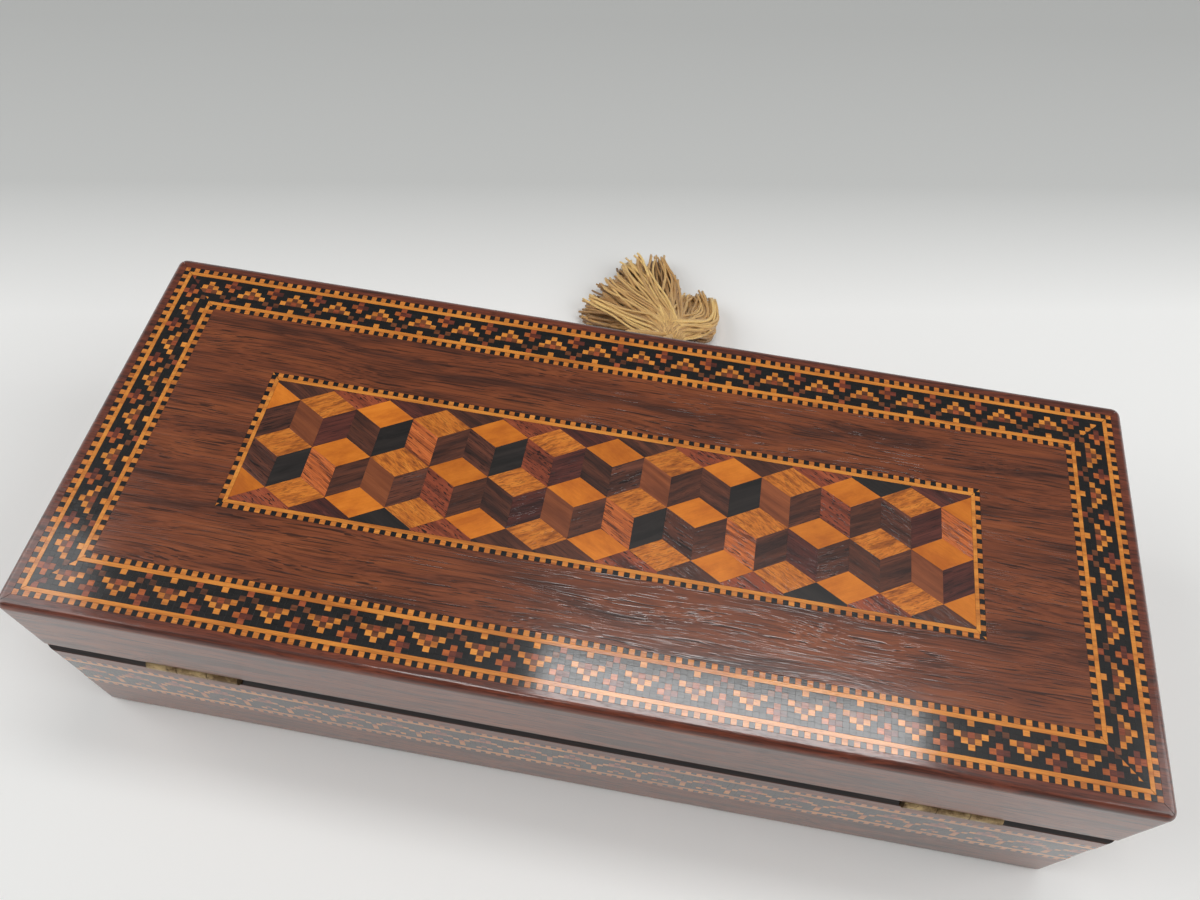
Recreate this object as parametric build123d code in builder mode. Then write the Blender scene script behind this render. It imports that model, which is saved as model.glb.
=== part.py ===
from build123d import *
from math import asin, cos, degrees, radians, sin, tan
import os

# Antique glove box with a hinged lid. Millimetres, +Z up, +X to the right seen from the front.
# The origin is the centre of the underside, the lock is at the front (-Y), the hinges at the back.

# Case
BOX_LENGTH = 240.0
BOX_DEPTH = 98.0
BOX_HEIGHT = 61.5
SEAM_HEIGHT = 38.0  # middle of the gap between the base and the lid
SEAM_GAP = 0.2
CORNER_RADIUS = 2.3
TOP_ROUNDING = 1.8
FOOT_ROUNDING = 1.5
BACK_CHAMFER = 2.1
WALL = 6.0
BOTTOM_BOARD = 5.0
TOP_BOARD = 5.0
VENEER = 1.2
PAPER = 0.4
PAPER_MARGIN = 4.0
GLUE_LINE = 0.08

# Banding on the sides of the base
BAND_BOTTOM = 15.0
SIDE_CHEQUER = 1.45
SIDE_LINE = 1.05
SIDE_MOSAIC = 12.0

# Inlay on the lid, from the edge inwards
EDGE_BANDING = 3.05
LID_CHEQUER = 1.25
LID_LINE = 1.0
LID_MOSAIC = 7.3
PANEL_CHEQUER = 1.1
PANEL_LINE = 0.95

# Cube pattern in the middle of the lid
CUBE_COLUMNS = 12
CUBE_WIDTH = 13.675
CUBE_TOP_HALF_DEPTH = 3.95
CUBE_SIDE = 8.05
CUBE_MARGIN = 0.5

# Lining and pads
LINING = 1.6
LINING_BELOW_RIM = 2.0
SOFT_CLEARANCE = 0.3
FLOOR_PAD = 4.0
LID_PAD = 4.5
PAD_ROUNDING = 2.5

# Hinges
HINGE_SPACING = 168.7
HINGE_LENGTH = 21.2
HINGE_INSET = 1.5  # from the back face to the axis
BARREL_RADIUS = 2.2
BARREL_CLEARANCE = 0.3
PIN_RADIUS = 0.8
PIN_CLEARANCE = 0.05
LEAF_THICKNESS = 1.2
LEAF_GAP = 0.3
LEAF_WIDTH = 5.4  # from the axis inwards
KNUCKLE_GAP = 0.15
MORTISE_CLEARANCE = 0.1
LEAF_SCREW_SPACING = 7.0

# Small brass screws
SCREW_HEAD_RADIUS = 1.05
SCREW_SHANK_RADIUS = 0.55
SCREW_LENGTH = 4.2
SCREW_CLEARANCE = 0.05
SCREW_SLOT_WIDTH = 0.3
SCREW_SLOT_DEPTH = 0.25
COUNTERSINK_ANGLE = 82.0

# Lock, let into the front wall from the inside
LOCK_PLATE_HALF_WIDTH = 17.0
LOCK_PLATE_BOTTOM = 14.0
LOCK_CASE_HALF_WIDTH = 13.0
LOCK_CASE_BOTTOM = 16.0
LOCK_SHEET = 0.9
LOCK_CAP = 0.8
LOCK_DEPTH = 4.8
LOCK_FIT = 0.1
LOCK_SCREW_LENGTH = 3.4
LOCK_SCREW_RISE = 3.5
LOCK_SCREW_DROP = 5.0

# Key and keyhole
KEY_HEIGHT = 25.0
KEY_SHAFT_RADIUS = 1.8
KEY_CLEARANCE = 0.3
KEY_TIP_GAP = 0.25
DRILL_PIN_RADIUS = 1.0
DRILL_PIN_CLEARANCE = 0.08
DRILL_PIN_LENGTH = 4.9
BIT_RADIUS = 4.2
BIT_THICKNESS = 1.6
BIT_GAP = 0.4  # to each lock plate
BIT_WARD = 0.6
COLLAR_RADIUS = 2.7
COLLAR_LENGTH = 1.4
COLLAR_STANDOFF = 0.6
BOW_REACH = 19.0  # from the front face to the middle of the bow
BOW_OUTER_RADIUS = 7.5
BOW_INNER_RADIUS = 5.0
BOW_THICKNESS = 2.2
BOW_ROUNDING = 0.8
KEYHOLE_SLOT_WIDTH = 2.2
ESCUTCHEON_RIM = 0.8
ESCUTCHEON_DEPTH = 2.0
ESCUTCHEON_PROUD = 0.15

# Bolt and spring
BOLT_TRAVEL = 4.8
BOLT_RISE = 2.4  # from the key's axis to the bolt's lower edge
BOLT_BAR = 3.5
BOLT_GAP = 0.3
BOLT_LEFT = 8.6  # from the talon to the left end
BOLT_RIGHT = 5.4  # from the talon to the right end
TALON_HALF_WIDTH = 1.4
TALON_HEIGHT = 4.5
FINGER_HEIGHT = 2.0
FINGER_ABOVE_BAR = 2.5
FINGER_RISER = 2.8
RISER_SHIFT = 0.6  # of the riser's left side from the talon's middle
FINGER_LENGTH = 4.2
STUD_RADIUS = 0.8
STUD_OFFSET = 6.0
SPRING_THICKNESS = 0.4
SPRING_WIDTH = 2.0
SPRING_ARCH = 1.6
SPRING_SHORT = 1.0  # of the bolt's riser

# Link plate and its hook, in the lid
LINK_PLATE = 1.0
HOOK_THICKNESS = 1.6
HOOK_TONGUE = 2.5
HOOK_FOOT = 4.0
HOOK_FOOT_HEIGHT = 1.6
HOOK_LEAD = 1.0  # from the resting finger to the hook
HOOK_SLOT_CLEARANCE = 0.6
LINK_SCREW_OFFSET = 13.5

# Cord and tassel, lying in front of the box
CORD_RADIUS = 0.75
CORD_ARC_SHARE = 0.45  # of the shorter run beside each corner
CORD_LOOP_SIDE = 6.2
CORD_LOOP_ANGLE = 60.0  # of each side of the loop's top from its middle line
CORD_LOOP_REACH = 6.3  # from the middle of the key's bow to the loop's shoulders
TASSEL_NECK = (-8.5, -94.0, 8.0)
TASSEL_DIRECTION = (0.1, 0.72, 0.68)
TASSEL_HEAD_LENGTH = 9.0
TASSEL_HEAD_RADIUS = 5.0
TASSEL_HEAD_MIDDLE = 4.6  # from the neck to the widest place
TASSEL_NECK_RADIUS = 3.2
TASSEL_BINDING_LENGTH = 3.0
TASSEL_BINDING_RADIUS = 4.0
TASSEL_BINDING_ROUNDING = 0.2
TASSEL_CLEARANCE = 0.2
SKIRT_LIFT = 0.2

SIDES = ("front", "back", "left", "right")

# Worked out from the sizes above
BASE_TOP = SEAM_HEIGHT - SEAM_GAP / 2
LID_BOTTOM = SEAM_HEIGHT + SEAM_GAP / 2
HALF_LENGTH = BOX_LENGTH / 2
HALF_DEPTH = BOX_DEPTH / 2
CARCASS_HALF_LENGTH = HALF_LENGTH - VENEER
CARCASS_HALF_DEPTH = HALF_DEPTH - VENEER
INSIDE_HALF_LENGTH = CARCASS_HALF_LENGTH - WALL
INSIDE_HALF_DEPTH = CARCASS_HALF_DEPTH - WALL
WALL_BOTTOM = PAPER + BOTTOM_BOARD
TOP_VENEER_BOTTOM = BOX_HEIGHT - VENEER
LID_BOARD_BOTTOM = TOP_VENEER_BOTTOM - TOP_BOARD
HINGE_Y = HALF_DEPTH - HINGE_INSET
HINGE_PLACES = (-HINGE_SPACING / 2, HINGE_SPACING / 2)
LEAF_INNER_Y = HINGE_Y - LEAF_WIDTH
LEAF_CUTBACK_Y = HINGE_Y - BARREL_RADIUS - BARREL_CLEARANCE
LEAF_SCREW_Y = (LEAF_INNER_Y + LEAF_CUTBACK_Y) / 2
SCREW_HEAD_DEPTH = (SCREW_HEAD_RADIUS - SCREW_SHANK_RADIUS) / tan(radians(COUNTERSINK_ANGLE / 2))

os.makedirs("parts", exist_ok=True)


def save(piece, name):
    """Label a finished piece and write it to its own file."""
    piece.part.label = name
    export_step(piece.part, "parts/" + name + ".step")


# Outlines and shared shapes


def mitred_side(side, half_length, half_depth, width):
    """Plan corners of one side of a mitred frame, from its outer half sizes."""
    inner_length = half_length - width
    inner_depth = half_depth - width
    outlines = {
        "front": (
            (-half_length, -half_depth),
            (half_length, -half_depth),
            (inner_length, -inner_depth),
            (-inner_length, -inner_depth),
        ),
        "back": (
            (-half_length, half_depth),
            (-inner_length, inner_depth),
            (inner_length, inner_depth),
            (half_length, half_depth),
        ),
        "left": (
            (-half_length, -half_depth),
            (-inner_length, -inner_depth),
            (-inner_length, inner_depth),
            (-half_length, half_depth),
        ),
        "right": (
            (half_length, -half_depth),
            (half_length, half_depth),
            (inner_length, inner_depth),
            (inner_length, -inner_depth),
        ),
    }
    return outlines[side]


def mitred_frame(half_length, half_depth, width):
    """Plan corners of all four sides of a mitred frame."""
    return [mitred_side(side, half_length, half_depth, width) for side in SIDES]


def slabs(outlines, bottom, top):
    """Extrude each outline, drawn in by half a glue line, between two heights."""
    with BuildSketch(Plane.XY.offset(bottom)) as pieces:
        for corners in outlines:
            whole = Polygon(*corners, align=None, mode=Mode.PRIVATE)
            offset(whole, amount=-GLUE_LINE / 2, kind=Kind.INTERSECTION, mode=Mode.ADD)
    extrude(pieces.sketch, amount=top - bottom)


def skin_side(side, width):
    """Plan corners of one side's outer skin, so that drawing it in leaves its outer face in place."""
    margin = GLUE_LINE / 2
    return mitred_side(side, HALF_LENGTH + margin, HALF_DEPTH + margin, width + margin)


def facing_front(y):
    """Upright plane at a depth, seen from the front: local x is X and local y is Z."""
    return Plane.XZ.offset(-y)


def block(low, high, mode=Mode.ADD):
    """Add or cut a straight block between two corners."""
    with BuildSketch(Plane.XY.offset(low[2])) as footprint:
        with Locations(((low[0] + high[0]) / 2, (low[1] + high[1]) / 2)):
            Rectangle(high[0] - low[0], high[1] - low[1])
    extrude(footprint.sketch, amount=high[2] - low[2], mode=mode)


def cut_back_chamfer(direction):
    """Bevel the back edge at the seam, on the base (-1) or on the lid (+1)."""
    edge = SEAM_HEIGHT + direction * SEAM_GAP / 2
    with BuildSketch(Plane.YZ) as bevel:
        Polygon(
            (HALF_DEPTH - BACK_CHAMFER, edge),
            (HALF_DEPTH, edge + direction * BACK_CHAMFER),
            (HALF_DEPTH + BACK_CHAMFER, edge),
            align=None,
        )
    extrude(bevel.sketch, amount=BOX_LENGTH, both=True, mode=Mode.SUBTRACT)


with BuildPart() as base_envelope:
    with BuildSketch():
        RectangleRounded(BOX_LENGTH, BOX_DEPTH, CORNER_RADIUS)
    extrude(amount=BASE_TOP)
    fillet(base_envelope.faces().sort_by(Axis.Z)[0].edges(), FOOT_ROUNDING)
    cut_back_chamfer(-1)

with BuildPart() as lid_envelope:
    with BuildSketch(Plane.XY.offset(LID_BOTTOM)):
        RectangleRounded(BOX_LENGTH, BOX_DEPTH, CORNER_RADIUS)
    extrude(amount=BOX_HEIGHT - LID_BOTTOM)
    fillet(lid_envelope.faces().sort_by(Axis.Z)[-1].edges(), TOP_ROUNDING)
    cut_back_chamfer(1)


# Hinge seats, cut in whatever piece is being made


def cut_hinge_seats(direction):
    """Mortises for the leaves and round pockets for the barrels, in the base (-1) or lid (+1)."""
    half = HINGE_LENGTH / 2 + MORTISE_CLEARANCE
    seat = SEAM_HEIGHT + direction * (LEAF_GAP / 2 + LEAF_THICKNESS)
    for x in HINGE_PLACES:
        block(
            (x - half, LEAF_INNER_Y - MORTISE_CLEARANCE, min(seat, SEAM_HEIGHT)),
            (x + half, HINGE_Y, max(seat, SEAM_HEIGHT)),
            mode=Mode.SUBTRACT,
        )
        with BuildSketch(Plane.YZ.offset(x)) as pocket:
            with Locations((HINGE_Y, SEAM_HEIGHT)):
                Circle(BARREL_RADIUS + BARREL_CLEARANCE)
        extrude(pocket.sketch, amount=half, both=True, mode=Mode.SUBTRACT)


# Screws


def leaf_screw_places(face, up):
    """Planes on the face of both hinge leaves, with each head looking out of the wood."""
    return [
        Plane(origin=(x + shift, LEAF_SCREW_Y, face), z_dir=(0, 0, up))
        for x in HINGE_PLACES
        for shift in (-LEAF_SCREW_SPACING, 0, LEAF_SCREW_SPACING)
    ]


def screws(places, length):
    """Slotted countersunk screws, each with its head flush with its plane."""
    seated = (Align.CENTER, Align.CENTER, Align.MAX)
    for place in places:
        with Locations(place):
            Cone(SCREW_SHANK_RADIUS, SCREW_HEAD_RADIUS, SCREW_HEAD_DEPTH, align=seated)
            Cylinder(SCREW_SHANK_RADIUS, length, align=seated)
            Box(
                2 * SCREW_HEAD_RADIUS,
                SCREW_SLOT_WIDTH,
                SCREW_SLOT_DEPTH,
                align=seated,
                mode=Mode.SUBTRACT,
            )


def cut_screw_holes(places, length):
    """Countersunk holes for the screws, through a plate and down into the wood."""
    seated = (Align.CENTER, Align.CENTER, Align.MAX)
    for place in places:
        with Locations(place):
            Cone(
                SCREW_SHANK_RADIUS + SCREW_CLEARANCE,
                SCREW_HEAD_RADIUS + SCREW_CLEARANCE,
                SCREW_HEAD_DEPTH,
                align=seated,
                mode=Mode.SUBTRACT,
            )
            Cylinder(
                SCREW_SHANK_RADIUS + SCREW_CLEARANCE,
                length + SCREW_CLEARANCE,
                align=seated,
                mode=Mode.SUBTRACT,
            )


BASE_LEAF_FACE = SEAM_HEIGHT - LEAF_GAP / 2
LID_LEAF_FACE = SEAM_HEIGHT + LEAF_GAP / 2
BASE_LEAF_SCREWS = leaf_screw_places(BASE_LEAF_FACE, 1)
LID_LEAF_SCREWS = leaf_screw_places(LID_LEAF_FACE, -1)
LOCK_SCREWS = [
    Plane(origin=(x, -INSIDE_HALF_DEPTH, z), z_dir=(0, 1, 0))
    for x in (
        -(LOCK_PLATE_HALF_WIDTH + LOCK_CASE_HALF_WIDTH) / 2,
        (LOCK_PLATE_HALF_WIDTH + LOCK_CASE_HALF_WIDTH) / 2,
    )
    for z in (LOCK_PLATE_BOTTOM + LOCK_SCREW_RISE, BASE_TOP - LOCK_SCREW_DROP)
]

# Places in the lock, worked out from the inside of the front wall
LOCK_FACE_Y = -INSIDE_HALF_DEPTH
LOCK_INNER_Y = LOCK_FACE_Y - LOCK_SHEET
LOCK_BACK_Y = LOCK_FACE_Y - LOCK_DEPTH
LOCK_CAP_Y = LOCK_BACK_Y + LOCK_CAP
LOCK_MIDDLE_Y = (LOCK_INNER_Y + LOCK_CAP_Y) / 2
SELVEDGE_BOTTOM = BASE_TOP - LOCK_SHEET
BOLT_BOTTOM = KEY_HEIGHT + BOLT_RISE
BOLT_BAR_TOP = BOLT_BOTTOM + BOLT_BAR
TALON_X = -BOLT_TRAVEL / 2
FINGER_BOTTOM = BOLT_BAR_TOP + FINGER_ABOVE_BAR
FINGER_TOP = FINGER_BOTTOM + FINGER_HEIGHT
RISER_RIGHT = TALON_X + FINGER_RISER - RISER_SHIFT
RISER_LEFT = RISER_RIGHT - FINGER_RISER
FINGER_END = RISER_RIGHT + FINGER_LENGTH
HOOK_LEFT = FINGER_END + HOOK_LEAD
HOOK_RIGHT = HOOK_LEFT + HOOK_FOOT + HOOK_TONGUE
HOOK_BOTTOM = BOLT_BAR_TOP + (FINGER_ABOVE_BAR - HOOK_FOOT_HEIGHT) / 2
LINK_SCREWS = [
    Plane(origin=(x, LOCK_MIDDLE_Y, LID_BOTTOM), z_dir=(0, 0, -1))
    for x in (-LINK_SCREW_OFFSET, LINK_SCREW_OFFSET)
]


def keyhole(margin):
    """Keyhole outline around the key's axis: a round hole with a slot below it."""
    slot_bottom = KEY_HEIGHT - BIT_RADIUS - KEY_CLEARANCE
    with Locations((0, KEY_HEIGHT)):
        Circle(KEY_SHAFT_RADIUS + KEY_CLEARANCE + margin)
    with Locations((0, (KEY_HEIGHT + slot_bottom - margin) / 2)):
        Rectangle(KEYHOLE_SLOT_WIDTH + 2 * margin, KEY_HEIGHT - slot_bottom + margin)


def cut_keyhole(margin, front, back):
    """Cut the keyhole between two depths."""
    with BuildSketch(facing_front(back)) as opening:
        keyhole(margin)
    extrude(opening.sketch, amount=back - front, mode=Mode.SUBTRACT)


def cut_lock_seat():
    """Recesses for the lock's case, plate and selvedge, and holes for the key and screws."""
    case_half = LOCK_CASE_HALF_WIDTH + LOCK_FIT
    plate_half = LOCK_PLATE_HALF_WIDTH + LOCK_FIT
    block(
        (-case_half, LOCK_BACK_Y - LOCK_FIT, LOCK_CASE_BOTTOM - LOCK_FIT),
        (case_half, LOCK_FACE_Y + WALL, BASE_TOP),
        mode=Mode.SUBTRACT,
    )
    block(
        (-plate_half, LOCK_INNER_Y, LOCK_PLATE_BOTTOM - LOCK_FIT),
        (plate_half, LOCK_FACE_Y + WALL, BASE_TOP),
        mode=Mode.SUBTRACT,
    )
    block(
        (-plate_half, LOCK_BACK_Y - LOCK_FIT, SELVEDGE_BOTTOM),
        (plate_half, LOCK_FACE_Y + WALL, BASE_TOP),
        mode=Mode.SUBTRACT,
    )
    cut_keyhole(0, -CARCASS_HALF_DEPTH, LOCK_BACK_Y)
    cut_keyhole(
        ESCUTCHEON_RIM + GLUE_LINE,
        -CARCASS_HALF_DEPTH,
        -HALF_DEPTH + ESCUTCHEON_DEPTH + GLUE_LINE,
    )
    cut_screw_holes(LOCK_SCREWS, LOCK_SCREW_LENGTH)


# Base carcass

with BuildPart() as underside_paper:
    block(
        (-CARCASS_HALF_LENGTH + PAPER_MARGIN, -CARCASS_HALF_DEPTH + PAPER_MARGIN, 0),
        (CARCASS_HALF_LENGTH - PAPER_MARGIN, CARCASS_HALF_DEPTH - PAPER_MARGIN, PAPER),
    )
save(underside_paper, "underside_paper")

with BuildPart() as base_bottom_board:
    block(
        (-CARCASS_HALF_LENGTH, -CARCASS_HALF_DEPTH, PAPER),
        (CARCASS_HALF_LENGTH, CARCASS_HALF_DEPTH, WALL_BOTTOM),
    )
save(base_bottom_board, "base_bottom_board")

for side in SIDES:
    with BuildPart() as base_wall:
        slabs(
            [mitred_side(side, CARCASS_HALF_LENGTH, CARCASS_HALF_DEPTH, WALL)],
            WALL_BOTTOM,
            BASE_TOP,
        )
        add(base_envelope.part, mode=Mode.INTERSECT)
        if side == "back":
            cut_hinge_seats(-1)
            cut_screw_holes(BASE_LEAF_SCREWS, SCREW_LENGTH)
        if side == "front":
            cut_lock_seat()
    save(base_wall, "base_" + side + "_wall")

BAND_LAYERS = (SIDE_CHEQUER, SIDE_LINE, SIDE_MOSAIC, SIDE_LINE, SIDE_CHEQUER)
BAND_TOP = BAND_BOTTOM + sum(BAND_LAYERS)

for side in SIDES:
    strip = [skin_side(side, VENEER)]
    with BuildPart() as base_veneer:
        slabs(strip, 0, BAND_BOTTOM)
        slabs(strip, BAND_TOP, BASE_TOP)
        add(base_envelope.part, mode=Mode.INTERSECT)
        if side == "back":
            cut_hinge_seats(-1)
    save(base_veneer, "base_" + side + "_veneer")

    with BuildPart() as mosaic_band:
        layer_bottom = BAND_BOTTOM
        for layer in BAND_LAYERS:
            slabs(strip, layer_bottom + GLUE_LINE / 2, layer_bottom + layer - GLUE_LINE / 2)
            layer_bottom += layer
        add(base_envelope.part, mode=Mode.INTERSECT)
        if side == "front":
            cut_keyhole(
                ESCUTCHEON_RIM + GLUE_LINE,
                -HALF_DEPTH,
                -CARCASS_HALF_DEPTH + GLUE_LINE,
            )
    save(mosaic_band, "base_" + side + "_mosaic_band")


# Lining and pads

LINING_TOP = BASE_TOP - LINING_BELOW_RIM

with BuildPart() as base_wall_linings:
    slabs(mitred_frame(INSIDE_HALF_LENGTH, INSIDE_HALF_DEPTH, LINING), WALL_BOTTOM, LINING_TOP)
    block(
        (
            -LOCK_PLATE_HALF_WIDTH - SOFT_CLEARANCE,
            LOCK_FACE_Y,
            LOCK_PLATE_BOTTOM - SOFT_CLEARANCE,
        ),
        (LOCK_PLATE_HALF_WIDTH + SOFT_CLEARANCE, LOCK_FACE_Y + LINING, LINING_TOP),
        mode=Mode.SUBTRACT,
    )
save(base_wall_linings, "base_wall_linings")


def pad(bottom, top):
    """Low slab that fits loosely between the linings."""
    half_length = INSIDE_HALF_LENGTH - LINING - SOFT_CLEARANCE
    half_depth = INSIDE_HALF_DEPTH - LINING - SOFT_CLEARANCE
    block((-half_length, -half_depth, bottom), (half_length, half_depth, top))


with BuildPart() as base_floor_pad:
    pad(WALL_BOTTOM + SOFT_CLEARANCE, WALL_BOTTOM + SOFT_CLEARANCE + FLOOR_PAD)
    fillet(base_floor_pad.faces().sort_by(Axis.Z)[-1].edges(), PAD_ROUNDING)
save(base_floor_pad, "base_floor_pad")


# Lid carcass and side veneers

with BuildPart() as lid_top_board:
    block(
        (-CARCASS_HALF_LENGTH, -CARCASS_HALF_DEPTH, LID_BOARD_BOTTOM),
        (CARCASS_HALF_LENGTH, CARCASS_HALF_DEPTH, TOP_VENEER_BOTTOM),
    )
save(lid_top_board, "lid_top_board")

for side in SIDES:
    with BuildPart() as lid_rim:
        slabs(
            [mitred_side(side, CARCASS_HALF_LENGTH, CARCASS_HALF_DEPTH, WALL)],
            LID_BOTTOM,
            LID_BOARD_BOTTOM,
        )
        add(lid_envelope.part, mode=Mode.INTERSECT)
        if side == "back":
            cut_hinge_seats(1)
            cut_screw_holes(LID_LEAF_SCREWS, SCREW_LENGTH)
        if side == "front":
            block(
                (
                    -LOCK_PLATE_HALF_WIDTH - LOCK_FIT,
                    LOCK_BACK_Y - LOCK_FIT,
                    LID_BOTTOM,
                ),
                (
                    LOCK_PLATE_HALF_WIDTH + LOCK_FIT,
                    LOCK_FACE_Y + WALL,
                    LID_BOTTOM + LINK_PLATE,
                ),
                mode=Mode.SUBTRACT,
            )
            cut_screw_holes(LINK_SCREWS, SCREW_LENGTH)
    save(lid_rim, "lid_" + side + "_rim")

    with BuildPart() as lid_veneer:
        slabs([skin_side(side, VENEER)], LID_BOTTOM, TOP_VENEER_BOTTOM)
        add(lid_envelope.part, mode=Mode.INTERSECT)
        if side == "back":
            cut_hinge_seats(1)
    save(lid_veneer, "lid_" + side + "_veneer")

with BuildPart() as lid_wall_linings:
    slabs(
        mitred_frame(INSIDE_HALF_LENGTH, INSIDE_HALF_DEPTH, LINING),
        LID_BOTTOM + LINING_BELOW_RIM,
        LID_BOARD_BOTTOM,
    )
save(lid_wall_linings, "lid_wall_linings")

with BuildPart() as lid_pad:
    pad(LID_BOARD_BOTTOM - SOFT_CLEARANCE - LID_PAD, LID_BOARD_BOTTOM - SOFT_CLEARANCE)
    fillet(lid_pad.faces().sort_by(Axis.Z)[0].edges(), PAD_ROUNDING)
save(lid_pad, "lid_pad")


# Inlay on the top of the lid, one layer of veneer thick


def inlay(outlines):
    """Lay veneer pieces on the lid's top board and round them off with the lid's edge."""
    slabs(outlines, TOP_VENEER_BOTTOM, BOX_HEIGHT)


OUTER_CHEQUER_EDGE = (HALF_LENGTH - EDGE_BANDING, HALF_DEPTH - EDGE_BANDING)


def stepped(edge, inwards):
    """Half sizes of a rectangle that lies further in."""
    return (edge[0] - inwards, edge[1] - inwards)


OUTER_LINE_EDGE = stepped(OUTER_CHEQUER_EDGE, LID_CHEQUER)
MOSAIC_EDGE = stepped(OUTER_LINE_EDGE, LID_LINE)
INNER_LINE_EDGE = stepped(MOSAIC_EDGE, LID_MOSAIC)
INNER_CHEQUER_EDGE = stepped(INNER_LINE_EDGE, LID_LINE)
FIELD_EDGE = stepped(INNER_CHEQUER_EDGE, LID_CHEQUER)
CUBE_PITCH = CUBE_TOP_HALF_DEPTH + CUBE_SIDE
CUBE_EDGE = (
    CUBE_COLUMNS * CUBE_WIDTH / 2,
    CUBE_PITCH + CUBE_TOP_HALF_DEPTH + CUBE_MARGIN,
)
PANEL_LINE_EDGE = stepped(CUBE_EDGE, -PANEL_LINE)
PANEL_CHEQUER_EDGE = stepped(PANEL_LINE_EDGE, -PANEL_CHEQUER)

with BuildPart() as lid_edge_banding:
    inlay([skin_side(side, EDGE_BANDING) for side in SIDES])
    add(lid_envelope.part, mode=Mode.INTERSECT)
save(lid_edge_banding, "lid_edge_banding")

with BuildPart() as lid_chequer_lines:
    inlay(
        mitred_frame(*OUTER_CHEQUER_EDGE, LID_CHEQUER)
        + mitred_frame(*INNER_CHEQUER_EDGE, LID_CHEQUER)
        + mitred_frame(*PANEL_CHEQUER_EDGE, PANEL_CHEQUER)
    )
save(lid_chequer_lines, "lid_chequer_lines")

with BuildPart() as lid_light_lines:
    inlay(
        mitred_frame(*OUTER_LINE_EDGE, LID_LINE)
        + mitred_frame(*INNER_LINE_EDGE, LID_LINE)
        + mitred_frame(*PANEL_LINE_EDGE, PANEL_LINE)
    )
save(lid_light_lines, "lid_light_lines")

with BuildPart() as lid_mosaic_border:
    inlay(mitred_frame(*MOSAIC_EDGE, LID_MOSAIC))
save(lid_mosaic_border, "lid_mosaic_border")

with BuildPart() as lid_field_veneer:
    with BuildSketch(Plane.XY.offset(TOP_VENEER_BOTTOM)):
        Rectangle(2 * FIELD_EDGE[0] - GLUE_LINE, 2 * FIELD_EDGE[1] - GLUE_LINE)
        Rectangle(
            2 * PANEL_CHEQUER_EDGE[0] + GLUE_LINE,
            2 * PANEL_CHEQUER_EDGE[1] + GLUE_LINE,
            mode=Mode.SUBTRACT,
        )
    extrude(amount=VENEER)
save(lid_field_veneer, "lid_field_veneer")

HALF_CUBE = CUBE_WIDTH / 2
OUTER_ROW_MIDDLES = [(column - CUBE_COLUMNS / 2) * CUBE_WIDTH for column in range(CUBE_COLUMNS + 1)]
MIDDLE_ROW_MIDDLES = [x + HALF_CUBE for x in OUTER_ROW_MIDDLES[:-1]]
CUBE_ROWS = (
    (-CUBE_PITCH, OUTER_ROW_MIDDLES),
    (0.0, MIDDLE_ROW_MIDDLES),
    (CUBE_PITCH, OUTER_ROW_MIDDLES),
)


def cube_top(x, y):
    """Lozenge of one cube's top, halved at the ends of the panel."""
    left = max(x - HALF_CUBE, -CUBE_EDGE[0])
    right = min(x + HALF_CUBE, CUBE_EDGE[0])
    corners = [(left, y), (x, y - CUBE_TOP_HALF_DEPTH), (right, y), (x, y + CUBE_TOP_HALF_DEPTH)]
    return [corner for corner in corners if corner[0] != x or corner[1] != y]


def cube_face(x, y, turn):
    """Upright face of one cube, left (-1) or right (+1) of its middle."""
    middle = y + CUBE_TOP_HALF_DEPTH
    return [
        (x, middle),
        (x + turn * HALF_CUBE, y),
        (x + turn * HALF_CUBE, y + CUBE_SIDE),
        (x, middle + CUBE_SIDE),
    ]


def cube_edge_piece(x, turn):
    """Piece that fills the space between two tops along the panel's front (-1) or back (+1)."""
    tip = turn * (CUBE_PITCH + CUBE_TOP_HALF_DEPTH)
    edge = turn * CUBE_EDGE[1]
    return [
        (x - HALF_CUBE, edge),
        (x - HALF_CUBE, tip),
        (x, turn * CUBE_PITCH),
        (x + HALF_CUBE, tip),
        (x + HALF_CUBE, edge),
    ]


with BuildPart() as lid_cube_tops:
    inlay([cube_top(x, y) for y, middles in CUBE_ROWS for x in middles])
save(lid_cube_tops, "lid_cube_tops")

for turn, name in ((-1, "lid_cube_left_faces"), (1, "lid_cube_right_faces")):
    with BuildPart() as cube_faces:
        inlay(
            [
                cube_face(x, y, turn)
                for y, middles in CUBE_ROWS[:2]
                for x in middles
                if abs(x + turn * HALF_CUBE) < CUBE_EDGE[0] + HALF_CUBE / 2
            ]
        )
    save(cube_faces, name)

with BuildPart() as lid_cube_edge_pieces:
    inlay([cube_edge_piece(x, turn) for turn in (-1, 1) for x in MIDDLE_ROW_MIDDLES])
save(lid_cube_edge_pieces, "lid_cube_edge_pieces")


# Hinges

KNUCKLE = HINGE_LENGTH / 3
OUTER_KNUCKLES = (-KNUCKLE, KNUCKLE)
MIDDLE_KNUCKLE = (0.0,)


def barrel(x, middles, radius, length, mode):
    """Add or cut lengths of a cylinder along the hinge axis."""
    for shift in middles:
        with BuildSketch(Plane.YZ.offset(x + shift)) as section:
            with Locations((HINGE_Y, SEAM_HEIGHT)):
                Circle(radius)
        extrude(section.sketch, amount=length / 2, both=True, mode=mode)


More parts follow.
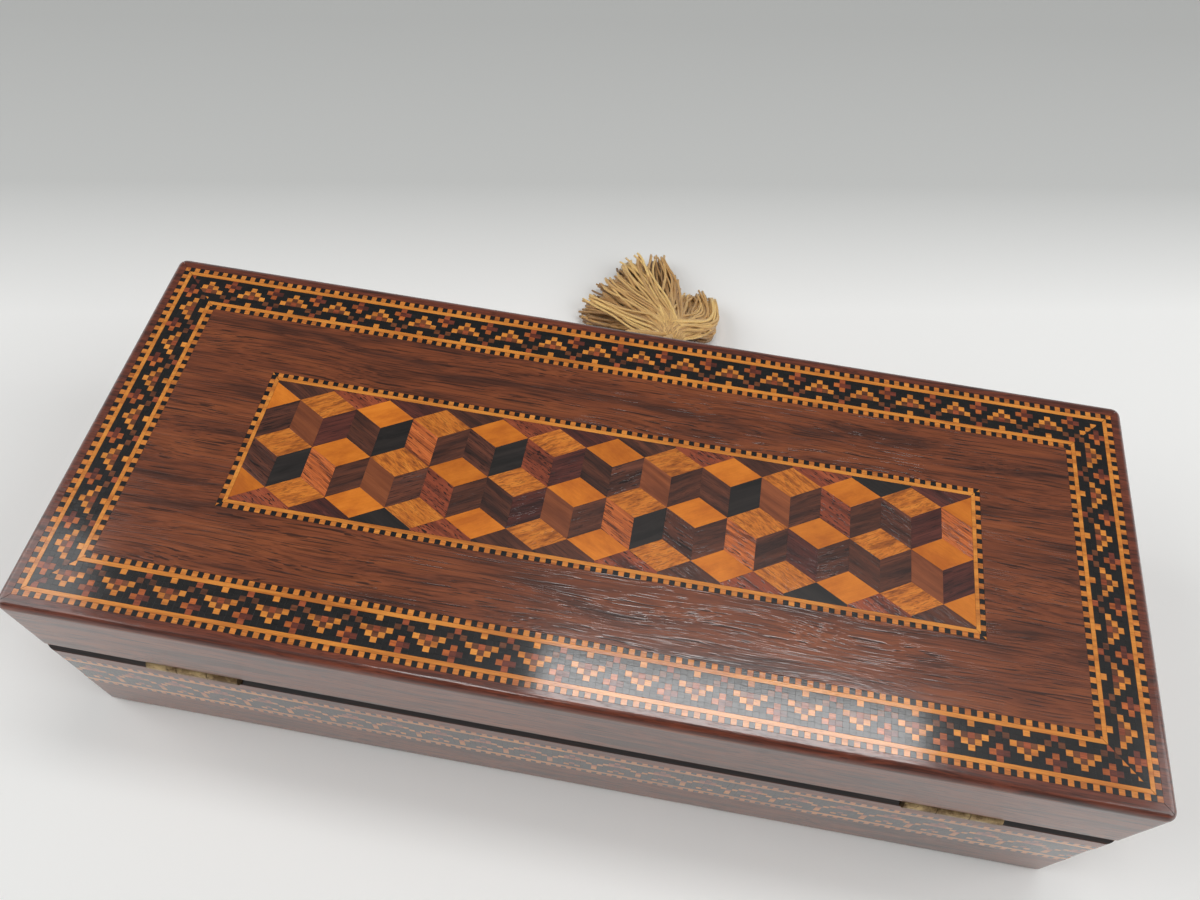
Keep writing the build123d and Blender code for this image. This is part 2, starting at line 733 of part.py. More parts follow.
def hinge_leaf(x, face, direction, own, other, screw_places):
    """Leaf with its knuckles, cut back round the other leaf's knuckles."""
    back = face + direction * LEAF_THICKNESS
    block(
        (x - HINGE_LENGTH / 2, LEAF_INNER_Y, min(face, back)),
        (x + HINGE_LENGTH / 2, HINGE_Y, max(face, back)),
    )
    barrel(x, other, BARREL_RADIUS + BARREL_CLEARANCE, KNUCKLE + KNUCKLE_GAP, Mode.SUBTRACT)
    barrel(x, own, BARREL_RADIUS, KNUCKLE - KNUCKLE_GAP, Mode.ADD)
    barrel(x, (0.0,), PIN_RADIUS + PIN_CLEARANCE, HINGE_LENGTH, Mode.SUBTRACT)
    cut_screw_holes(screw_places, SCREW_LENGTH)


for x, name in zip(HINGE_PLACES, ("hinge_left", "hinge_right")):
    with BuildPart() as base_leaf:
        hinge_leaf(x, BASE_LEAF_FACE, -1, OUTER_KNUCKLES, MIDDLE_KNUCKLE, BASE_LEAF_SCREWS)
    save(base_leaf, name + "_base_leaf")

    with BuildPart() as lid_leaf:
        hinge_leaf(x, LID_LEAF_FACE, 1, MIDDLE_KNUCKLE, OUTER_KNUCKLES, LID_LEAF_SCREWS)
    save(lid_leaf, name + "_lid_leaf")

    with BuildPart() as hinge_pin:
        barrel(x, (0.0,), PIN_RADIUS, HINGE_LENGTH, Mode.ADD)
    save(hinge_pin, name + "_pin")

with BuildPart() as hinge_base_screws:
    screws(BASE_LEAF_SCREWS, SCREW_LENGTH)
save(hinge_base_screws, "hinge_base_screws")

with BuildPart() as lid_screws:
    screws(LID_LEAF_SCREWS + LINK_SCREWS, SCREW_LENGTH)
save(lid_screws, "lid_screws")


# Lock

with BuildPart() as lock_case:
    block(
        (-LOCK_PLATE_HALF_WIDTH, LOCK_INNER_Y, LOCK_PLATE_BOTTOM),
        (LOCK_PLATE_HALF_WIDTH, LOCK_FACE_Y, BASE_TOP),
    )
    block(
        (-LOCK_PLATE_HALF_WIDTH, LOCK_BACK_Y, SELVEDGE_BOTTOM),
        (LOCK_PLATE_HALF_WIDTH, LOCK_FACE_Y, BASE_TOP),
    )
    block(
        (-LOCK_CASE_HALF_WIDTH, LOCK_CAP_Y, LOCK_CASE_BOTTOM),
        (LOCK_CASE_HALF_WIDTH, LOCK_INNER_Y, SELVEDGE_BOTTOM),
    )
    block(
        (
            -LOCK_CASE_HALF_WIDTH + LOCK_CAP,
            LOCK_CAP_Y,
            LOCK_CASE_BOTTOM + LOCK_CAP,
        ),
        (LOCK_CASE_HALF_WIDTH - LOCK_CAP, LOCK_INNER_Y, SELVEDGE_BOTTOM),
        mode=Mode.SUBTRACT,
    )
    block(
        (
            HOOK_LEFT - HOOK_SLOT_CLEARANCE,
            LOCK_CAP_Y,
            SELVEDGE_BOTTOM,
        ),
        (HOOK_RIGHT + HOOK_SLOT_CLEARANCE, LOCK_INNER_Y, BASE_TOP),
        mode=Mode.SUBTRACT,
    )
    with BuildSketch(facing_front(LOCK_INNER_Y)):
        with Locations(
            (-STUD_OFFSET, BOLT_BOTTOM - BOLT_GAP - STUD_RADIUS),
            (STUD_OFFSET, BOLT_BOTTOM - BOLT_GAP - STUD_RADIUS),
        ):
            Circle(STUD_RADIUS)
    extrude(amount=LOCK_INNER_Y - LOCK_CAP_Y)
    cut_screw_holes(LOCK_SCREWS, LOCK_SCREW_LENGTH)
save(lock_case, "lock_case")

with BuildPart() as lock_cap_plate:
    block(
        (-LOCK_CASE_HALF_WIDTH, LOCK_BACK_Y, LOCK_CASE_BOTTOM),
        (LOCK_CASE_HALF_WIDTH, LOCK_CAP_Y, SELVEDGE_BOTTOM),
    )
    cut_keyhole(0, LOCK_BACK_Y, LOCK_CAP_Y)
save(lock_cap_plate, "lock_cap_plate")

with BuildPart() as lock_drill_pin:
    with BuildSketch(facing_front(LOCK_INNER_Y)):
        with Locations((0, KEY_HEIGHT)):
            Circle(DRILL_PIN_RADIUS)
    extrude(amount=DRILL_PIN_LENGTH)
save(lock_drill_pin, "lock_drill_pin")

with BuildPart() as lock_screws:
    screws(LOCK_SCREWS, LOCK_SCREW_LENGTH)
save(lock_screws, "lock_screws")

with BuildPart() as lock_bolt:
    with BuildSketch(facing_front(LOCK_INNER_Y - BOLT_GAP)):
        Polygon(
            (TALON_X - BOLT_LEFT, BOLT_BOTTOM),
            (TALON_X - BOLT_LEFT, BOLT_BAR_TOP),
            (RISER_LEFT, BOLT_BAR_TOP),
            (RISER_LEFT, FINGER_TOP),
            (FINGER_END, FINGER_TOP),
            (FINGER_END, FINGER_BOTTOM),
            (RISER_RIGHT, FINGER_BOTTOM),
            (RISER_RIGHT, BOLT_BAR_TOP),
            (TALON_X + BOLT_RIGHT, BOLT_BAR_TOP),
            (TALON_X + BOLT_RIGHT, BOLT_BOTTOM),
            align=None,
        )
        with Locations((TALON_X, KEY_HEIGHT + TALON_HEIGHT / 2)):
            Rectangle(2 * TALON_HALF_WIDTH, TALON_HEIGHT, mode=Mode.SUBTRACT)
    extrude(amount=LOCK_INNER_Y - LOCK_CAP_Y - 2 * BOLT_GAP)
save(lock_bolt, "lock_bolt")

SPRING_LEFT = -LOCK_CASE_HALF_WIDTH + LOCK_CAP + LOCK_FIT
SPRING_RIGHT = RISER_LEFT - SPRING_SHORT
SPRING_LOW = BOLT_BAR_TOP + BOLT_GAP

with BuildPart() as lock_spring:
    with BuildSketch(facing_front(LOCK_MIDDLE_Y + SPRING_WIDTH / 2)):
        with BuildLine():
            lower = ThreePointArc(
                (SPRING_LEFT, SPRING_LOW + SPRING_ARCH),
                ((SPRING_LEFT + SPRING_RIGHT) / 2, SPRING_LOW + SPRING_ARCH / 3),
                (SPRING_RIGHT, SPRING_LOW),
            )
            offset(lower, amount=SPRING_THICKNESS, side=Side.LEFT)
        make_face()
    extrude(amount=SPRING_WIDTH)
save(lock_spring, "lock_spring")

with BuildPart() as escutcheon:
    with BuildSketch(facing_front(-HALF_DEPTH + ESCUTCHEON_DEPTH)):
        keyhole(ESCUTCHEON_RIM)
    extrude(amount=ESCUTCHEON_DEPTH + ESCUTCHEON_PROUD)
    cut_keyhole(0, -HALF_DEPTH - ESCUTCHEON_PROUD, -HALF_DEPTH + ESCUTCHEON_DEPTH)
save(escutcheon, "escutcheon")


# Link plate and hook in the lid

with BuildPart() as link_plate:
    block(
        (-LOCK_PLATE_HALF_WIDTH, LOCK_BACK_Y, LID_BOTTOM),
        (LOCK_PLATE_HALF_WIDTH, LOCK_FACE_Y, LID_BOTTOM + LINK_PLATE),
    )
    cut_screw_holes(LINK_SCREWS, SCREW_LENGTH)
save(link_plate, "link_plate")

with BuildPart() as link_hook:
    with BuildSketch(facing_front(LOCK_MIDDLE_Y + HOOK_THICKNESS / 2)):
        Polygon(
            (HOOK_LEFT, HOOK_BOTTOM),
            (HOOK_LEFT, HOOK_BOTTOM + HOOK_FOOT_HEIGHT),
            (HOOK_LEFT + HOOK_FOOT, HOOK_BOTTOM + HOOK_FOOT_HEIGHT),
            (HOOK_LEFT + HOOK_FOOT, LID_BOTTOM),
            (HOOK_RIGHT, LID_BOTTOM),
            (HOOK_RIGHT, HOOK_BOTTOM),
            align=None,
        )
    extrude(amount=HOOK_THICKNESS)
save(link_hook, "link_hook")


# Key, at rest with its bit in the bolt's talon

KEY_TIP_Y = LOCK_INNER_Y - KEY_TIP_GAP
BOW_Y = -HALF_DEPTH - BOW_REACH
COLLAR_BACK_Y = -HALF_DEPTH - COLLAR_STANDOFF
KEY_PLANE = Plane(origin=(0, 0, KEY_HEIGHT), x_dir=(0, -1, 0), z_dir=(-1, 0, -1))

with BuildPart() as key:
    with BuildSketch(KEY_PLANE):
        with Locations((-BOW_Y, 0)):
            Circle(BOW_OUTER_RADIUS)
            Circle(BOW_INNER_RADIUS, mode=Mode.SUBTRACT)
    extrude(amount=BOW_THICKNESS / 2, both=True)
    fillet(key.edges().filter_by(GeomType.CIRCLE), BOW_ROUNDING)
    with BuildSketch(facing_front(KEY_TIP_Y)):
        with Locations((0, KEY_HEIGHT)):
            Circle(KEY_SHAFT_RADIUS)
    extrude(amount=KEY_TIP_Y - BOW_Y - (BOW_OUTER_RADIUS + BOW_INNER_RADIUS) / 2)
    with BuildSketch(facing_front(COLLAR_BACK_Y)):
        with Locations((0, KEY_HEIGHT)):
            Circle(COLLAR_RADIUS)
    extrude(amount=COLLAR_LENGTH)
    with BuildSketch(KEY_PLANE):
        with Locations((-LOCK_MIDDLE_Y, BIT_RADIUS / 2)):
            Rectangle(LOCK_INNER_Y - LOCK_CAP_Y - 2 * BIT_GAP, BIT_RADIUS)
        with Locations((-LOCK_MIDDLE_Y, BIT_RADIUS)):
            Rectangle(BIT_WARD, 2 * BIT_WARD, mode=Mode.SUBTRACT)
    extrude(amount=BIT_THICKNESS / 2, both=True)
    with BuildSketch(facing_front(KEY_TIP_Y)):
        with Locations((0, KEY_HEIGHT)):
            Circle(DRILL_PIN_RADIUS + DRILL_PIN_CLEARANCE)
    extrude(amount=DRILL_PIN_LENGTH, mode=Mode.SUBTRACT)
save(key, "key")


# Cord and tassel

LOOP_HALF_WIDTH = CORD_LOOP_SIDE * sin(radians(CORD_LOOP_ANGLE))
LOOP_SHOULDER_Y = BOW_Y - CORD_LOOP_REACH
LOOP_TOP_Y = LOOP_SHOULDER_Y + CORD_LOOP_SIDE * cos(radians(CORD_LOOP_ANGLE))
CORD_ROUTE = [
    (-8.6, -87.5, 14.1),
    (-7.9, -84.0, 17.6),
    (-6.2, -79.6, 21.8),
    (-LOOP_HALF_WIDTH, LOOP_SHOULDER_Y, KEY_HEIGHT),
    (0.0, LOOP_TOP_Y, KEY_HEIGHT),
    (LOOP_HALF_WIDTH, LOOP_SHOULDER_Y, KEY_HEIGHT),
    (5.8, -79.8, 22.4),
    (-2.3, -84.4, 17.9),
    (-6.6, -87.5, 14.1),
]


def corner_radii(route):
    """Largest arc that each corner's two runs leave room for."""
    points = [Vector(*point) for point in route]
    radii = []
    for before, corner, after in zip(points, points[1:], points[2:]):
        shorter = min((corner - before).length, (after - corner).length)
        turn = (corner - before).get_angle(after - corner)
        radii.append(CORD_ARC_SHARE * shorter / tan(radians(turn / 2)))
    return radii


CORD_RADII = corner_radii(CORD_ROUTE)
print("cord arcs, mm:", [round(radius, 1) for radius in CORD_RADII])

with BuildPart() as tassel_cord:
    with BuildLine() as cord_path:
        FilletPolyline(*CORD_ROUTE, radius=CORD_RADII)
    with BuildSketch(cord_path.line ^ 0):
        Circle(CORD_RADIUS)
    sweep()
save(tassel_cord, "tassel_cord")
print("cord length, mm:", round(sum(edge.length for edge in cord_path.edges()), 1))

TASSEL_PLANE = Plane(origin=TASSEL_NECK, z_dir=TASSEL_DIRECTION)
TASSEL_PROFILE = Plane(origin=TASSEL_NECK, x_dir=TASSEL_PLANE.x_dir, z_dir=-TASSEL_PLANE.y_dir)
TASSEL_AXIS = Axis(TASSEL_NECK, TASSEL_DIRECTION)

TASSEL_CROWN_RISE = TASSEL_HEAD_LENGTH - TASSEL_HEAD_MIDDLE
TASSEL_CROWN_ANGLE = degrees(asin(TASSEL_CROWN_RISE / TASSEL_HEAD_RADIUS))

with BuildPart() as tassel_head:
    with BuildSketch(TASSEL_PROFILE):
        with BuildLine():
            crown = CenterArc((0, TASSEL_HEAD_MIDDLE), TASSEL_HEAD_RADIUS, 0, TASSEL_CROWN_ANGLE)
            Polyline(
                crown @ 0,
                (TASSEL_NECK_RADIUS, 0),
                (0, 0),
                (0, TASSEL_HEAD_LENGTH),
                crown @ 1,
            )
        make_face()
    revolve(axis=TASSEL_AXIS)
save(tassel_head, "tassel_head")

with BuildPart() as tassel_binding:
    with BuildSketch(TASSEL_PLANE):
        Circle(TASSEL_BINDING_RADIUS)
    extrude(amount=-TASSEL_BINDING_LENGTH)
    fillet(tassel_binding.edges(), TASSEL_BINDING_ROUNDING)
save(tassel_binding, "tassel_binding")

# The skirt fans out over the surface from the binding, in one large and one small clump
SKIRT_OUTLINE = [
    (-12.5, -92.5),
    (-22.5, -94.0),
    (-23.0, -103.0),
    (-17.5, -113.5),
    (-9.5, -115.5),
    (-1.0, -132.5),
    (5.0, -132.0),
    (12.0, -126.5),
    (19.0, -115.5),
    (22.0, -105.0),
    (20.5, -96.0),
    (-4.5, -92.5),
]
SKIRT_LEVELS = ((0.0, 1.0), (3.5, 0.95), (7.0, 0.62), (10.0, 0.3))  # height, share of the outline

with BuildPart() as tassel_skirt:
    for rise, share in SKIRT_LEVELS:
        with BuildSketch(Plane.XY.offset(SKIRT_LIFT + rise)):
            Polygon(
                *[
                    (
                        TASSEL_NECK[0] + share * (x - TASSEL_NECK[0]),
                        TASSEL_NECK[1] + share * (y - TASSEL_NECK[1]),
                    )
                    for x, y in SKIRT_OUTLINE
                ],
                align=None,
            )
    loft(ruled=True)
    with BuildSketch(TASSEL_PLANE.offset(-TASSEL_BINDING_LENGTH - TASSEL_CLEARANCE)):
        Circle(TASSEL_HEAD_RADIUS + TASSEL_CLEARANCE)
    extrude(
        amount=TASSEL_BINDING_LENGTH + TASSEL_HEAD_LENGTH + TASSEL_CLEARANCE,
        mode=Mode.SUBTRACT,
    )
save(tassel_skirt, "tassel_skirt")
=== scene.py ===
import math
import random

import bmesh
import bpy
import numpy as np
from mathutils import Matrix, Vector


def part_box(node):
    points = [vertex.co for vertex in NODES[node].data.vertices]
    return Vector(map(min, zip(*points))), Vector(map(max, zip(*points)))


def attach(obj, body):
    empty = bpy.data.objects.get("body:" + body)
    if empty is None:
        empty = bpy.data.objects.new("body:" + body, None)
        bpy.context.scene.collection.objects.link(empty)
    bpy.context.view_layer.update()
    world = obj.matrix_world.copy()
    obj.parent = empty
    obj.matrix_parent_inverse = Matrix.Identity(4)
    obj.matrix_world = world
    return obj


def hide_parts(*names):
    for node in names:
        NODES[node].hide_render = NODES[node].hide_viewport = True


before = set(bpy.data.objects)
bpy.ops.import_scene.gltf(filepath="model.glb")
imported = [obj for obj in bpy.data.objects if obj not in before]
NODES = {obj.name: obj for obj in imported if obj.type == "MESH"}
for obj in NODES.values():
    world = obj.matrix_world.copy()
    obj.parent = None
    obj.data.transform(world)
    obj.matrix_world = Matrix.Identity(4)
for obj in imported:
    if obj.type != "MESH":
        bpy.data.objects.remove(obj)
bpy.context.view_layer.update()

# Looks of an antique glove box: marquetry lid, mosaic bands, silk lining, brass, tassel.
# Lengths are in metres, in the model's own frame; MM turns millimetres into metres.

MM = 0.001


# Camera: the photograph's viewpoint, worked out from eight corners of the box

CAMERA_PLACE = Vector((-0.008011, 0.104641, 0.249516))
CAMERA_TARGET = Vector((0.007382, -0.050197, 0.0))
CAMERA_ROLL = 0.082
CAMERA_LENS = 28.687
SENSOR_WIDTH = 36.0


def make_camera():
    forward = (CAMERA_TARGET - CAMERA_PLACE).normalized()
    level = forward.cross(Vector((0, 0, 1))).normalized()
    upright = level.cross(forward)
    cosine, sine = math.cos(CAMERA_ROLL), math.sin(CAMERA_ROLL)
    right = cosine * level + sine * upright
    up = cosine * upright - sine * level
    camera = bpy.data.cameras.new("camera")
    camera.lens = CAMERA_LENS
    camera.sensor_width = SENSOR_WIDTH
    camera.sensor_fit = "HORIZONTAL"
    camera.clip_start = 0.005
    holder = bpy.data.objects.new("camera", camera)
    turned = Matrix((right, up, -forward)).transposed().to_4x4()
    holder.matrix_world = Matrix.Translation(CAMERA_PLACE) @ turned
    bpy.context.scene.collection.objects.link(holder)
    bpy.context.scene.camera = holder


make_camera()
bpy.context.scene.view_settings.view_transform = "Standard"


# Materials


def srgb(red, green, blue):
    """Linear colour of an 8-bit screen colour."""
    linear = []
    for value in (red, green, blue):
        share = value / 255
        linear.append(share / 12.92 if share <= 0.04045 else ((share + 0.055) / 1.055) ** 2.4)
    return (*linear, 1.0)


def all_srgb(*colours):
    return [srgb(*colour) for colour in colours]


def fill_ramp(node, stops):
    """Give a colour ramp its stops, pairs of a position and a colour."""
    points = node.color_ramp.elements
    points[0].position, points[0].color = stops[0]
    points[1].position, points[1].color = stops[-1]
    for position, colour in stops[1:-1]:
        points.new(position).color = colour


MOST_NOISE = (0.3, 0.7)  # nearly all values of a noise lie between these


class Shader:
    """A material with its Principled shader, and short calls to add nodes to it."""

    def __init__(self, name):
        self.material = bpy.data.materials.new(name)
        self.material.use_nodes = True
        self.tree = self.material.node_tree
        self.surface = self.tree.nodes["Principled BSDF"]

    def add(self, kind, *values, **settings):
        """A node with its inputs set or linked in order; None leaves an input as it is."""
        new = self.tree.nodes.new("ShaderNode" + kind)
        for key, value in settings.items():
            setattr(new, key, value)
        for socket, value in zip(new.inputs, values):
            self.put(socket, value)
        return new

    def put(self, socket, value):
        if value is None:
            return
        if isinstance(value, bpy.types.NodeSocket):
            self.tree.links.new(value, socket)
        else:
            socket.default_value = value

    def set(self, **values):
        """Inputs of the surface by name, with underscores for spaces."""
        for key, value in values.items():
            self.put(self.surface.inputs[key.replace("_", " ")], value)

    def math(self, operation, first, second=None):
        return self.add("Math", first, second, operation=operation).outputs[0]

    def vector_math(self, operation, first, second):
        return self.add("VectorMath", first, second, operation=operation).outputs[0]

    def spread(self, value, low, high, new_low=0.0, new_high=1.0):
        """The value with low..high mapped to new_low..new_high, and held there."""
        return self.add("MapRange", value, low, high, new_low, new_high).outputs[0]

    def noise(self, place, size, detail=2.0, roughness=0.5):
        """Noise with grains of that size, in millimetres along X, Y and Z."""
        grains = self.vector_math("MULTIPLY", place, tuple(1 / (length * MM) for length in size))
        return self.add("TexNoise", grains, None, 1.0, detail, roughness).outputs[0]

    def times(self, first, second):
        return self.math("MULTIPLY", first, second)

    def dimmed(self, colour, level):
        return self.add("VectorMath", colour, None, None, level, operation="SCALE").outputs[0]

    def blend(self, share, first, second):
        new = self.add("Mix", data_type="RGBA")
        self.put(new.inputs["Factor"], share)
        self.put(new.inputs["A"], first)
        self.put(new.inputs["B"], second)
        return new.outputs["Result"]

    def ramp(self, share, *stops):
        new = self.add("ValToRGB", share)
        fill_ramp(new, stops)
        return new.outputs[0]

    def object_place(self):
        return self.add("TexCoord").outputs["Object"]

    def attribute(self, name):
        return self.add("Attribute", attribute_name=name).outputs["Fac"]

    def bump(self, height, distance, strength=1.0):
        new = self.add("Bump")
        new.inputs["Strength"].default_value = strength
        new.inputs["Distance"].default_value = distance
        self.put(new.inputs["Height"], height)
        return new.outputs[0]


def along(grain, length, width):
    """Sizes along X, Y and Z of a mark that is long along the grain."""
    return (length, width, width) if grain == "X" else (width, length, width)


# Lengths and widths of marks in the wood, in millimetres
WANDER = (40, 9)
FIBRE = (9, 0.13)
FLECK = (16, 0.45)
WANDER_REACH = 5 * MM
PIT_EDGE = 0.02
GROOVE_EDGE = 0.06
FILLING_SHADE = 0.35
# Width over which the painted shade at the hinge seam fades out
PAINTED_SHADE_EDGE = 0.4 * MM


def wood(
    name,
    light,
    middle,
    dark,
    grain="X",
    streak=(30, 2.2),
    pore=(4.0, 0.22),
    pores=0.5,
    pore_level=0.6,
    groove=0.008 * MM,
    fibre=0.22,
    fleck=0.0,
    roughness=0.34,
    polish=1.0,
    tone_range=0.12,
    dirt=None,
):
    """Wood with streaks, fibres and open pores under polish; its pieces may carry a tone and a turn."""
    shader = Shader(name)
    light, middle, dark = all_srgb(light, middle, dark)
    tone = shader.attribute("tone")
    place = shader.add("VectorRotate", shader.object_place(), rotation_type="Z_AXIS")
    shader.put(place.inputs["Angle"], shader.attribute("turn"))
    shifted = shader.vector_math("ADD", place.outputs[0], tone)
    wander = shader.noise(shifted, along(grain, *WANDER), 1.0)
    bend = shader.times(shader.math("SUBTRACT", wander, 0.5), WANDER_REACH)
    bent = shader.vector_math("ADD", shifted, bend)
    figure = shader.noise(bent, along(grain, *streak), 5.0, 0.62)
    fibres = shader.noise(bent, along(grain, *FIBRE), 2.0)
    holes = shader.noise(bent, along(grain, *pore), 1.0)
    pits = shader.spread(holes, pore_level, pore_level + PIT_EDGE)
    grooves = shader.spread(holes, pore_level - GROOVE_EDGE, pore_level + GROOVE_EDGE)
    colour = shader.ramp(figure, (0.36, dark), (0.5, middle), (0.66, light))
    level = shader.spread(fibres, *MOST_NOISE, 1 - fibre, 1 + fibre)
    if fleck:
        flecks = shader.noise(bent, along(grain, *FLECK), 2.0, 0.6)
        level = shader.times(level, shader.spread(flecks, 0.5, 0.66, 1.0, 1 - fleck))
    # Painted shade: darker close to the seam, standing in for the shadow in the gap at the hinges
    if dirt:
        axis, seam, reach = dirt
        own_place = shader.add("SeparateXYZ", shader.object_place()).outputs[axis]
        beside = shader.math("ABSOLUTE", shader.math("SUBTRACT", own_place, seam))
        level = shader.times(level, shader.spread(beside, reach, reach + PAINTED_SHADE_EDGE, 0.05, 1.0))
    tone_level = shader.add("Math", tone, tone_range, 1.0, operation="MULTIPLY_ADD").outputs[0]
    tinted = shader.dimmed(colour, shader.times(level, tone_level))
    filling = (*[FILLING_SHADE * value for value in dark[:3]], 1.0)
    relief = shader.math("SUBTRACT", shader.times(fibres, 0.12), shader.times(grooves, pores))
    normal = shader.bump(relief, groove)
    shader.set(
        Base_Color=shader.blend(shader.times(pits, pores), tinted, filling),
        Roughness=shader.spread(fibres, *MOST_NOISE, roughness - 0.05, roughness + 0.07),
        Specular_IOR_Level=0.35,
        Normal=normal,
        Coat_Weight=polish,
        Coat_Roughness=0.08,
        Coat_Normal=normal,
    )
    return shader.material


def rosewood(name, grain, **settings):
    settings.update(streak=(40, 4.0), pore=(17.0, 0.32), pores=0.85, pore_level=0.615)
    settings.update(groove=0.012 * MM, fibre=0.2, fleck=0.5)
    return wood(name, (136, 72, 38), (118, 60, 33), (78, 40, 25), grain, **settings)


ROSEWOOD = {grain: rosewood("rosewood_" + grain.lower(), grain) for grain in "XY"}
# Painted shade darkens the bevelled seam beside the hinges, standing in for the shadow in the gap: axis,
# middle and half width of the painted shade
SEAM_PAINTED_SHADE = ("Z", 38 * MM, 2.0 * MM)
BEVEL_PAINTED_SHADE = ("Y", 49 * MM, 3.2 * MM)
HINGE_SIDE_ROSEWOOD = rosewood("rosewood_hinge_side", "X", dirt=SEAM_PAINTED_SHADE, polish=0.68)
BANDING = wood(
    "edge_banding_wood", (122, 60, 38), (104, 50, 33), (68, 33, 24), streak=(30, 1.2), fleck=0.3
)
LIGHT_WOOD = wood("light_wood", (226, 148, 62), (212, 132, 50), (180, 104, 38), pores=0.15, fibre=0.1)
TESSERA_WOODS = {
    "L": wood("tessera_light", (226, 146, 60), (210, 130, 48), (178, 102, 36), pores=0.15, fibre=0.12),
    "C": wood("tessera_chequer", (218, 138, 56), (202, 120, 46), (162, 88, 34), pores=0.2, fibre=0.14),
    "O": wood("tessera_orange", (196, 106, 46), (178, 92, 38), (140, 68, 28), pores=0.2, fibre=0.15),
    "R": wood("tessera_red", (166, 82, 44), (150, 72, 38), (114, 50, 28), pores=0.3, fibre=0.18),
    "D": wood("tessera_dark_red", (118, 54, 36), (98, 44, 30), (70, 32, 24), pores=0.3, fibre=0.18),
    "B": wood("tessera_brown", (124, 70, 38), (108, 60, 32), (78, 42, 24), pores=0.3, fibre=0.18),
    ".": wood("tessera_black", (22, 19, 18), (16, 14, 13), (10, 9, 9), pores=0.2, fibre=0.18),
}
OPEN_PORE = (1.6, 0.3)
SMALL_PORE = (1.6, 0.25)
TOP_LOOKS = {
    "T": dict(pores=0.0, fibre=0.06, streak=(9, 5), tone_range=0.08),
    "U": dict(pores=0.45, pore=SMALL_PORE, pore_level=0.57, fibre=0.12, streak=(5, 1.1), tone_range=0.08),
}
CUBE_WOODS = {
    "K": wood("cube_black", (44, 38, 35), (36, 31, 29), (27, 24, 22), pores=0.0, fibre=0.1),
    "M": wood("cube_mid_brown", (142, 78, 44), (128, 68, 38), (106, 54, 30), pores=0.1, fibre=0.12),
    "W": wood("cube_walnut", (102, 56, 38), (80, 44, 31), (50, 28, 22), pores=0.5),
    "P": wood("cube_purple", (98, 48, 38), (80, 38, 31), (54, 27, 24), pores=0.6),
    "S": wood("cube_speckled", (108, 60, 42), (86, 47, 34), (48, 27, 21), pores=0.9),
    "O": wood("cube_orange", (206, 112, 54), (184, 94, 44), (112, 54, 28), pores=0.9, streak=(16, 0.7)),
    "R": wood("cube_red", (158, 78, 46), (134, 62, 38), (76, 36, 26), pores=1.0, pore=OPEN_PORE),
    "T": wood("cube_plain_top", (217, 125, 34), (204, 113, 27), (186, 98, 22), **TOP_LOOKS["T"]),
    "U": wood("cube_mottled_top", (212, 128, 45), (198, 112, 36), (150, 80, 27), **TOP_LOOKS["U"]),
}


def carcass_wood(name, grain, **settings):
    settings.update(streak=(60, 2.4), pores=0.2, fibre=0.12, roughness=0.55, polish=0.0)
    return wood(name, (196, 158, 112), (178, 138, 94), (150, 110, 72), grain, **settings)


CARCASS = {grain: carcass_wood("carcass_wood_" + grain.lower(), grain) for grain in "XY"}
HINGE_SIDE_CARCASS = carcass_wood("carcass_wood_hinge_side", "X", dirt=BEVEL_PAINTED_SHADE)


def metal(name, bright, dull, stain, roughness):
    """Old metal with tarnish in patches and fine scratches."""
    shader = Shader(name)
    bright, dull, stain = all_srgb(bright, dull, stain)
    place = shader.object_place()
    patches = shader.noise(place, (5,) * 3, 6.0, 0.6)
    specks = shader.noise(place, (0.7,) * 3, 3.0, 0.6)
    scratches = shader.noise(place, (6, 0.09, 0.3), 2.0)
    tarnish = shader.spread(shader.math("ADD", patches, shader.times(specks, 0.35)), 0.54, 0.78)
    colour = shader.blend(tarnish, bright, dull)
    spots = shader.spread(specks, 0.63, 0.72, 0.0, 0.7)
    relief = shader.math("ADD", shader.times(scratches, 0.5), shader.times(specks, 0.4))
    shader.set(
        Base_Color=shader.blend(spots, colour, stain),
        Metallic=1.0,
        Roughness=shader.spread(tarnish, 0.0, 1.0, roughness, roughness + 0.25),
        Normal=shader.bump(relief, 0.03 * MM),
    )
    return shader.material


BRASS = metal("aged_brass", (184, 158, 116), (108, 86, 60), (52, 42, 34), 0.28)
STEEL = metal("worn_steel", (176, 174, 170), (112, 108, 104), (62, 54, 48), 0.24)


def silk():
    """Woven burgundy silk with fine crossing threads, a soft sheen and painted shade along the quilting
    seams.
    """
    shader = Shader("burgundy_silk")
    colour, shade = all_srgb((150, 32, 44), (74, 12, 22))
    place = shader.object_place()
    crosswise = shader.noise(place, (0.12, 3, 3), 1.0)
    lengthwise = shader.noise(place, (3, 0.12, 0.12), 1.0)
    slubs = shader.noise(place, (7, 0.5, 0.5), 2.0)
    worn = shader.noise(place, (22,) * 3, 3.0)
    weave = shader.math("ADD", crosswise, lengthwise)
    threads = shader.spread(shader.math("ADD", weave, shader.times(slubs, 0.6)), 0.9, 1.6)
    mixed = shader.blend(threads, shade, colour)
    faded = (*[0.75 * value + 0.04 for value in colour[:3]], 1.0)
    # Painted shade: the silk grows darker along the quilting seams, in the stitched hollows
    seam_shaded = shader.blend(shader.times(shader.attribute("seam"), 0.75), mixed, shade)
    shader.set(
        Base_Color=shader.blend(shader.spread(worn, 0.5, 0.8, 0.0, 0.35), seam_shaded, faded),
        Roughness=shader.spread(weave, 0.6, 1.4, 0.48, 0.34),
        Sheen_Weight=0.25,
        Sheen_Roughness=0.35,
        Sheen_Tint=(1.0, 0.75, 0.7, 1.0),
        Normal=shader.bump(weave, 0.05 * MM, 0.7),
    )
    return shader.material


SILK = silk()


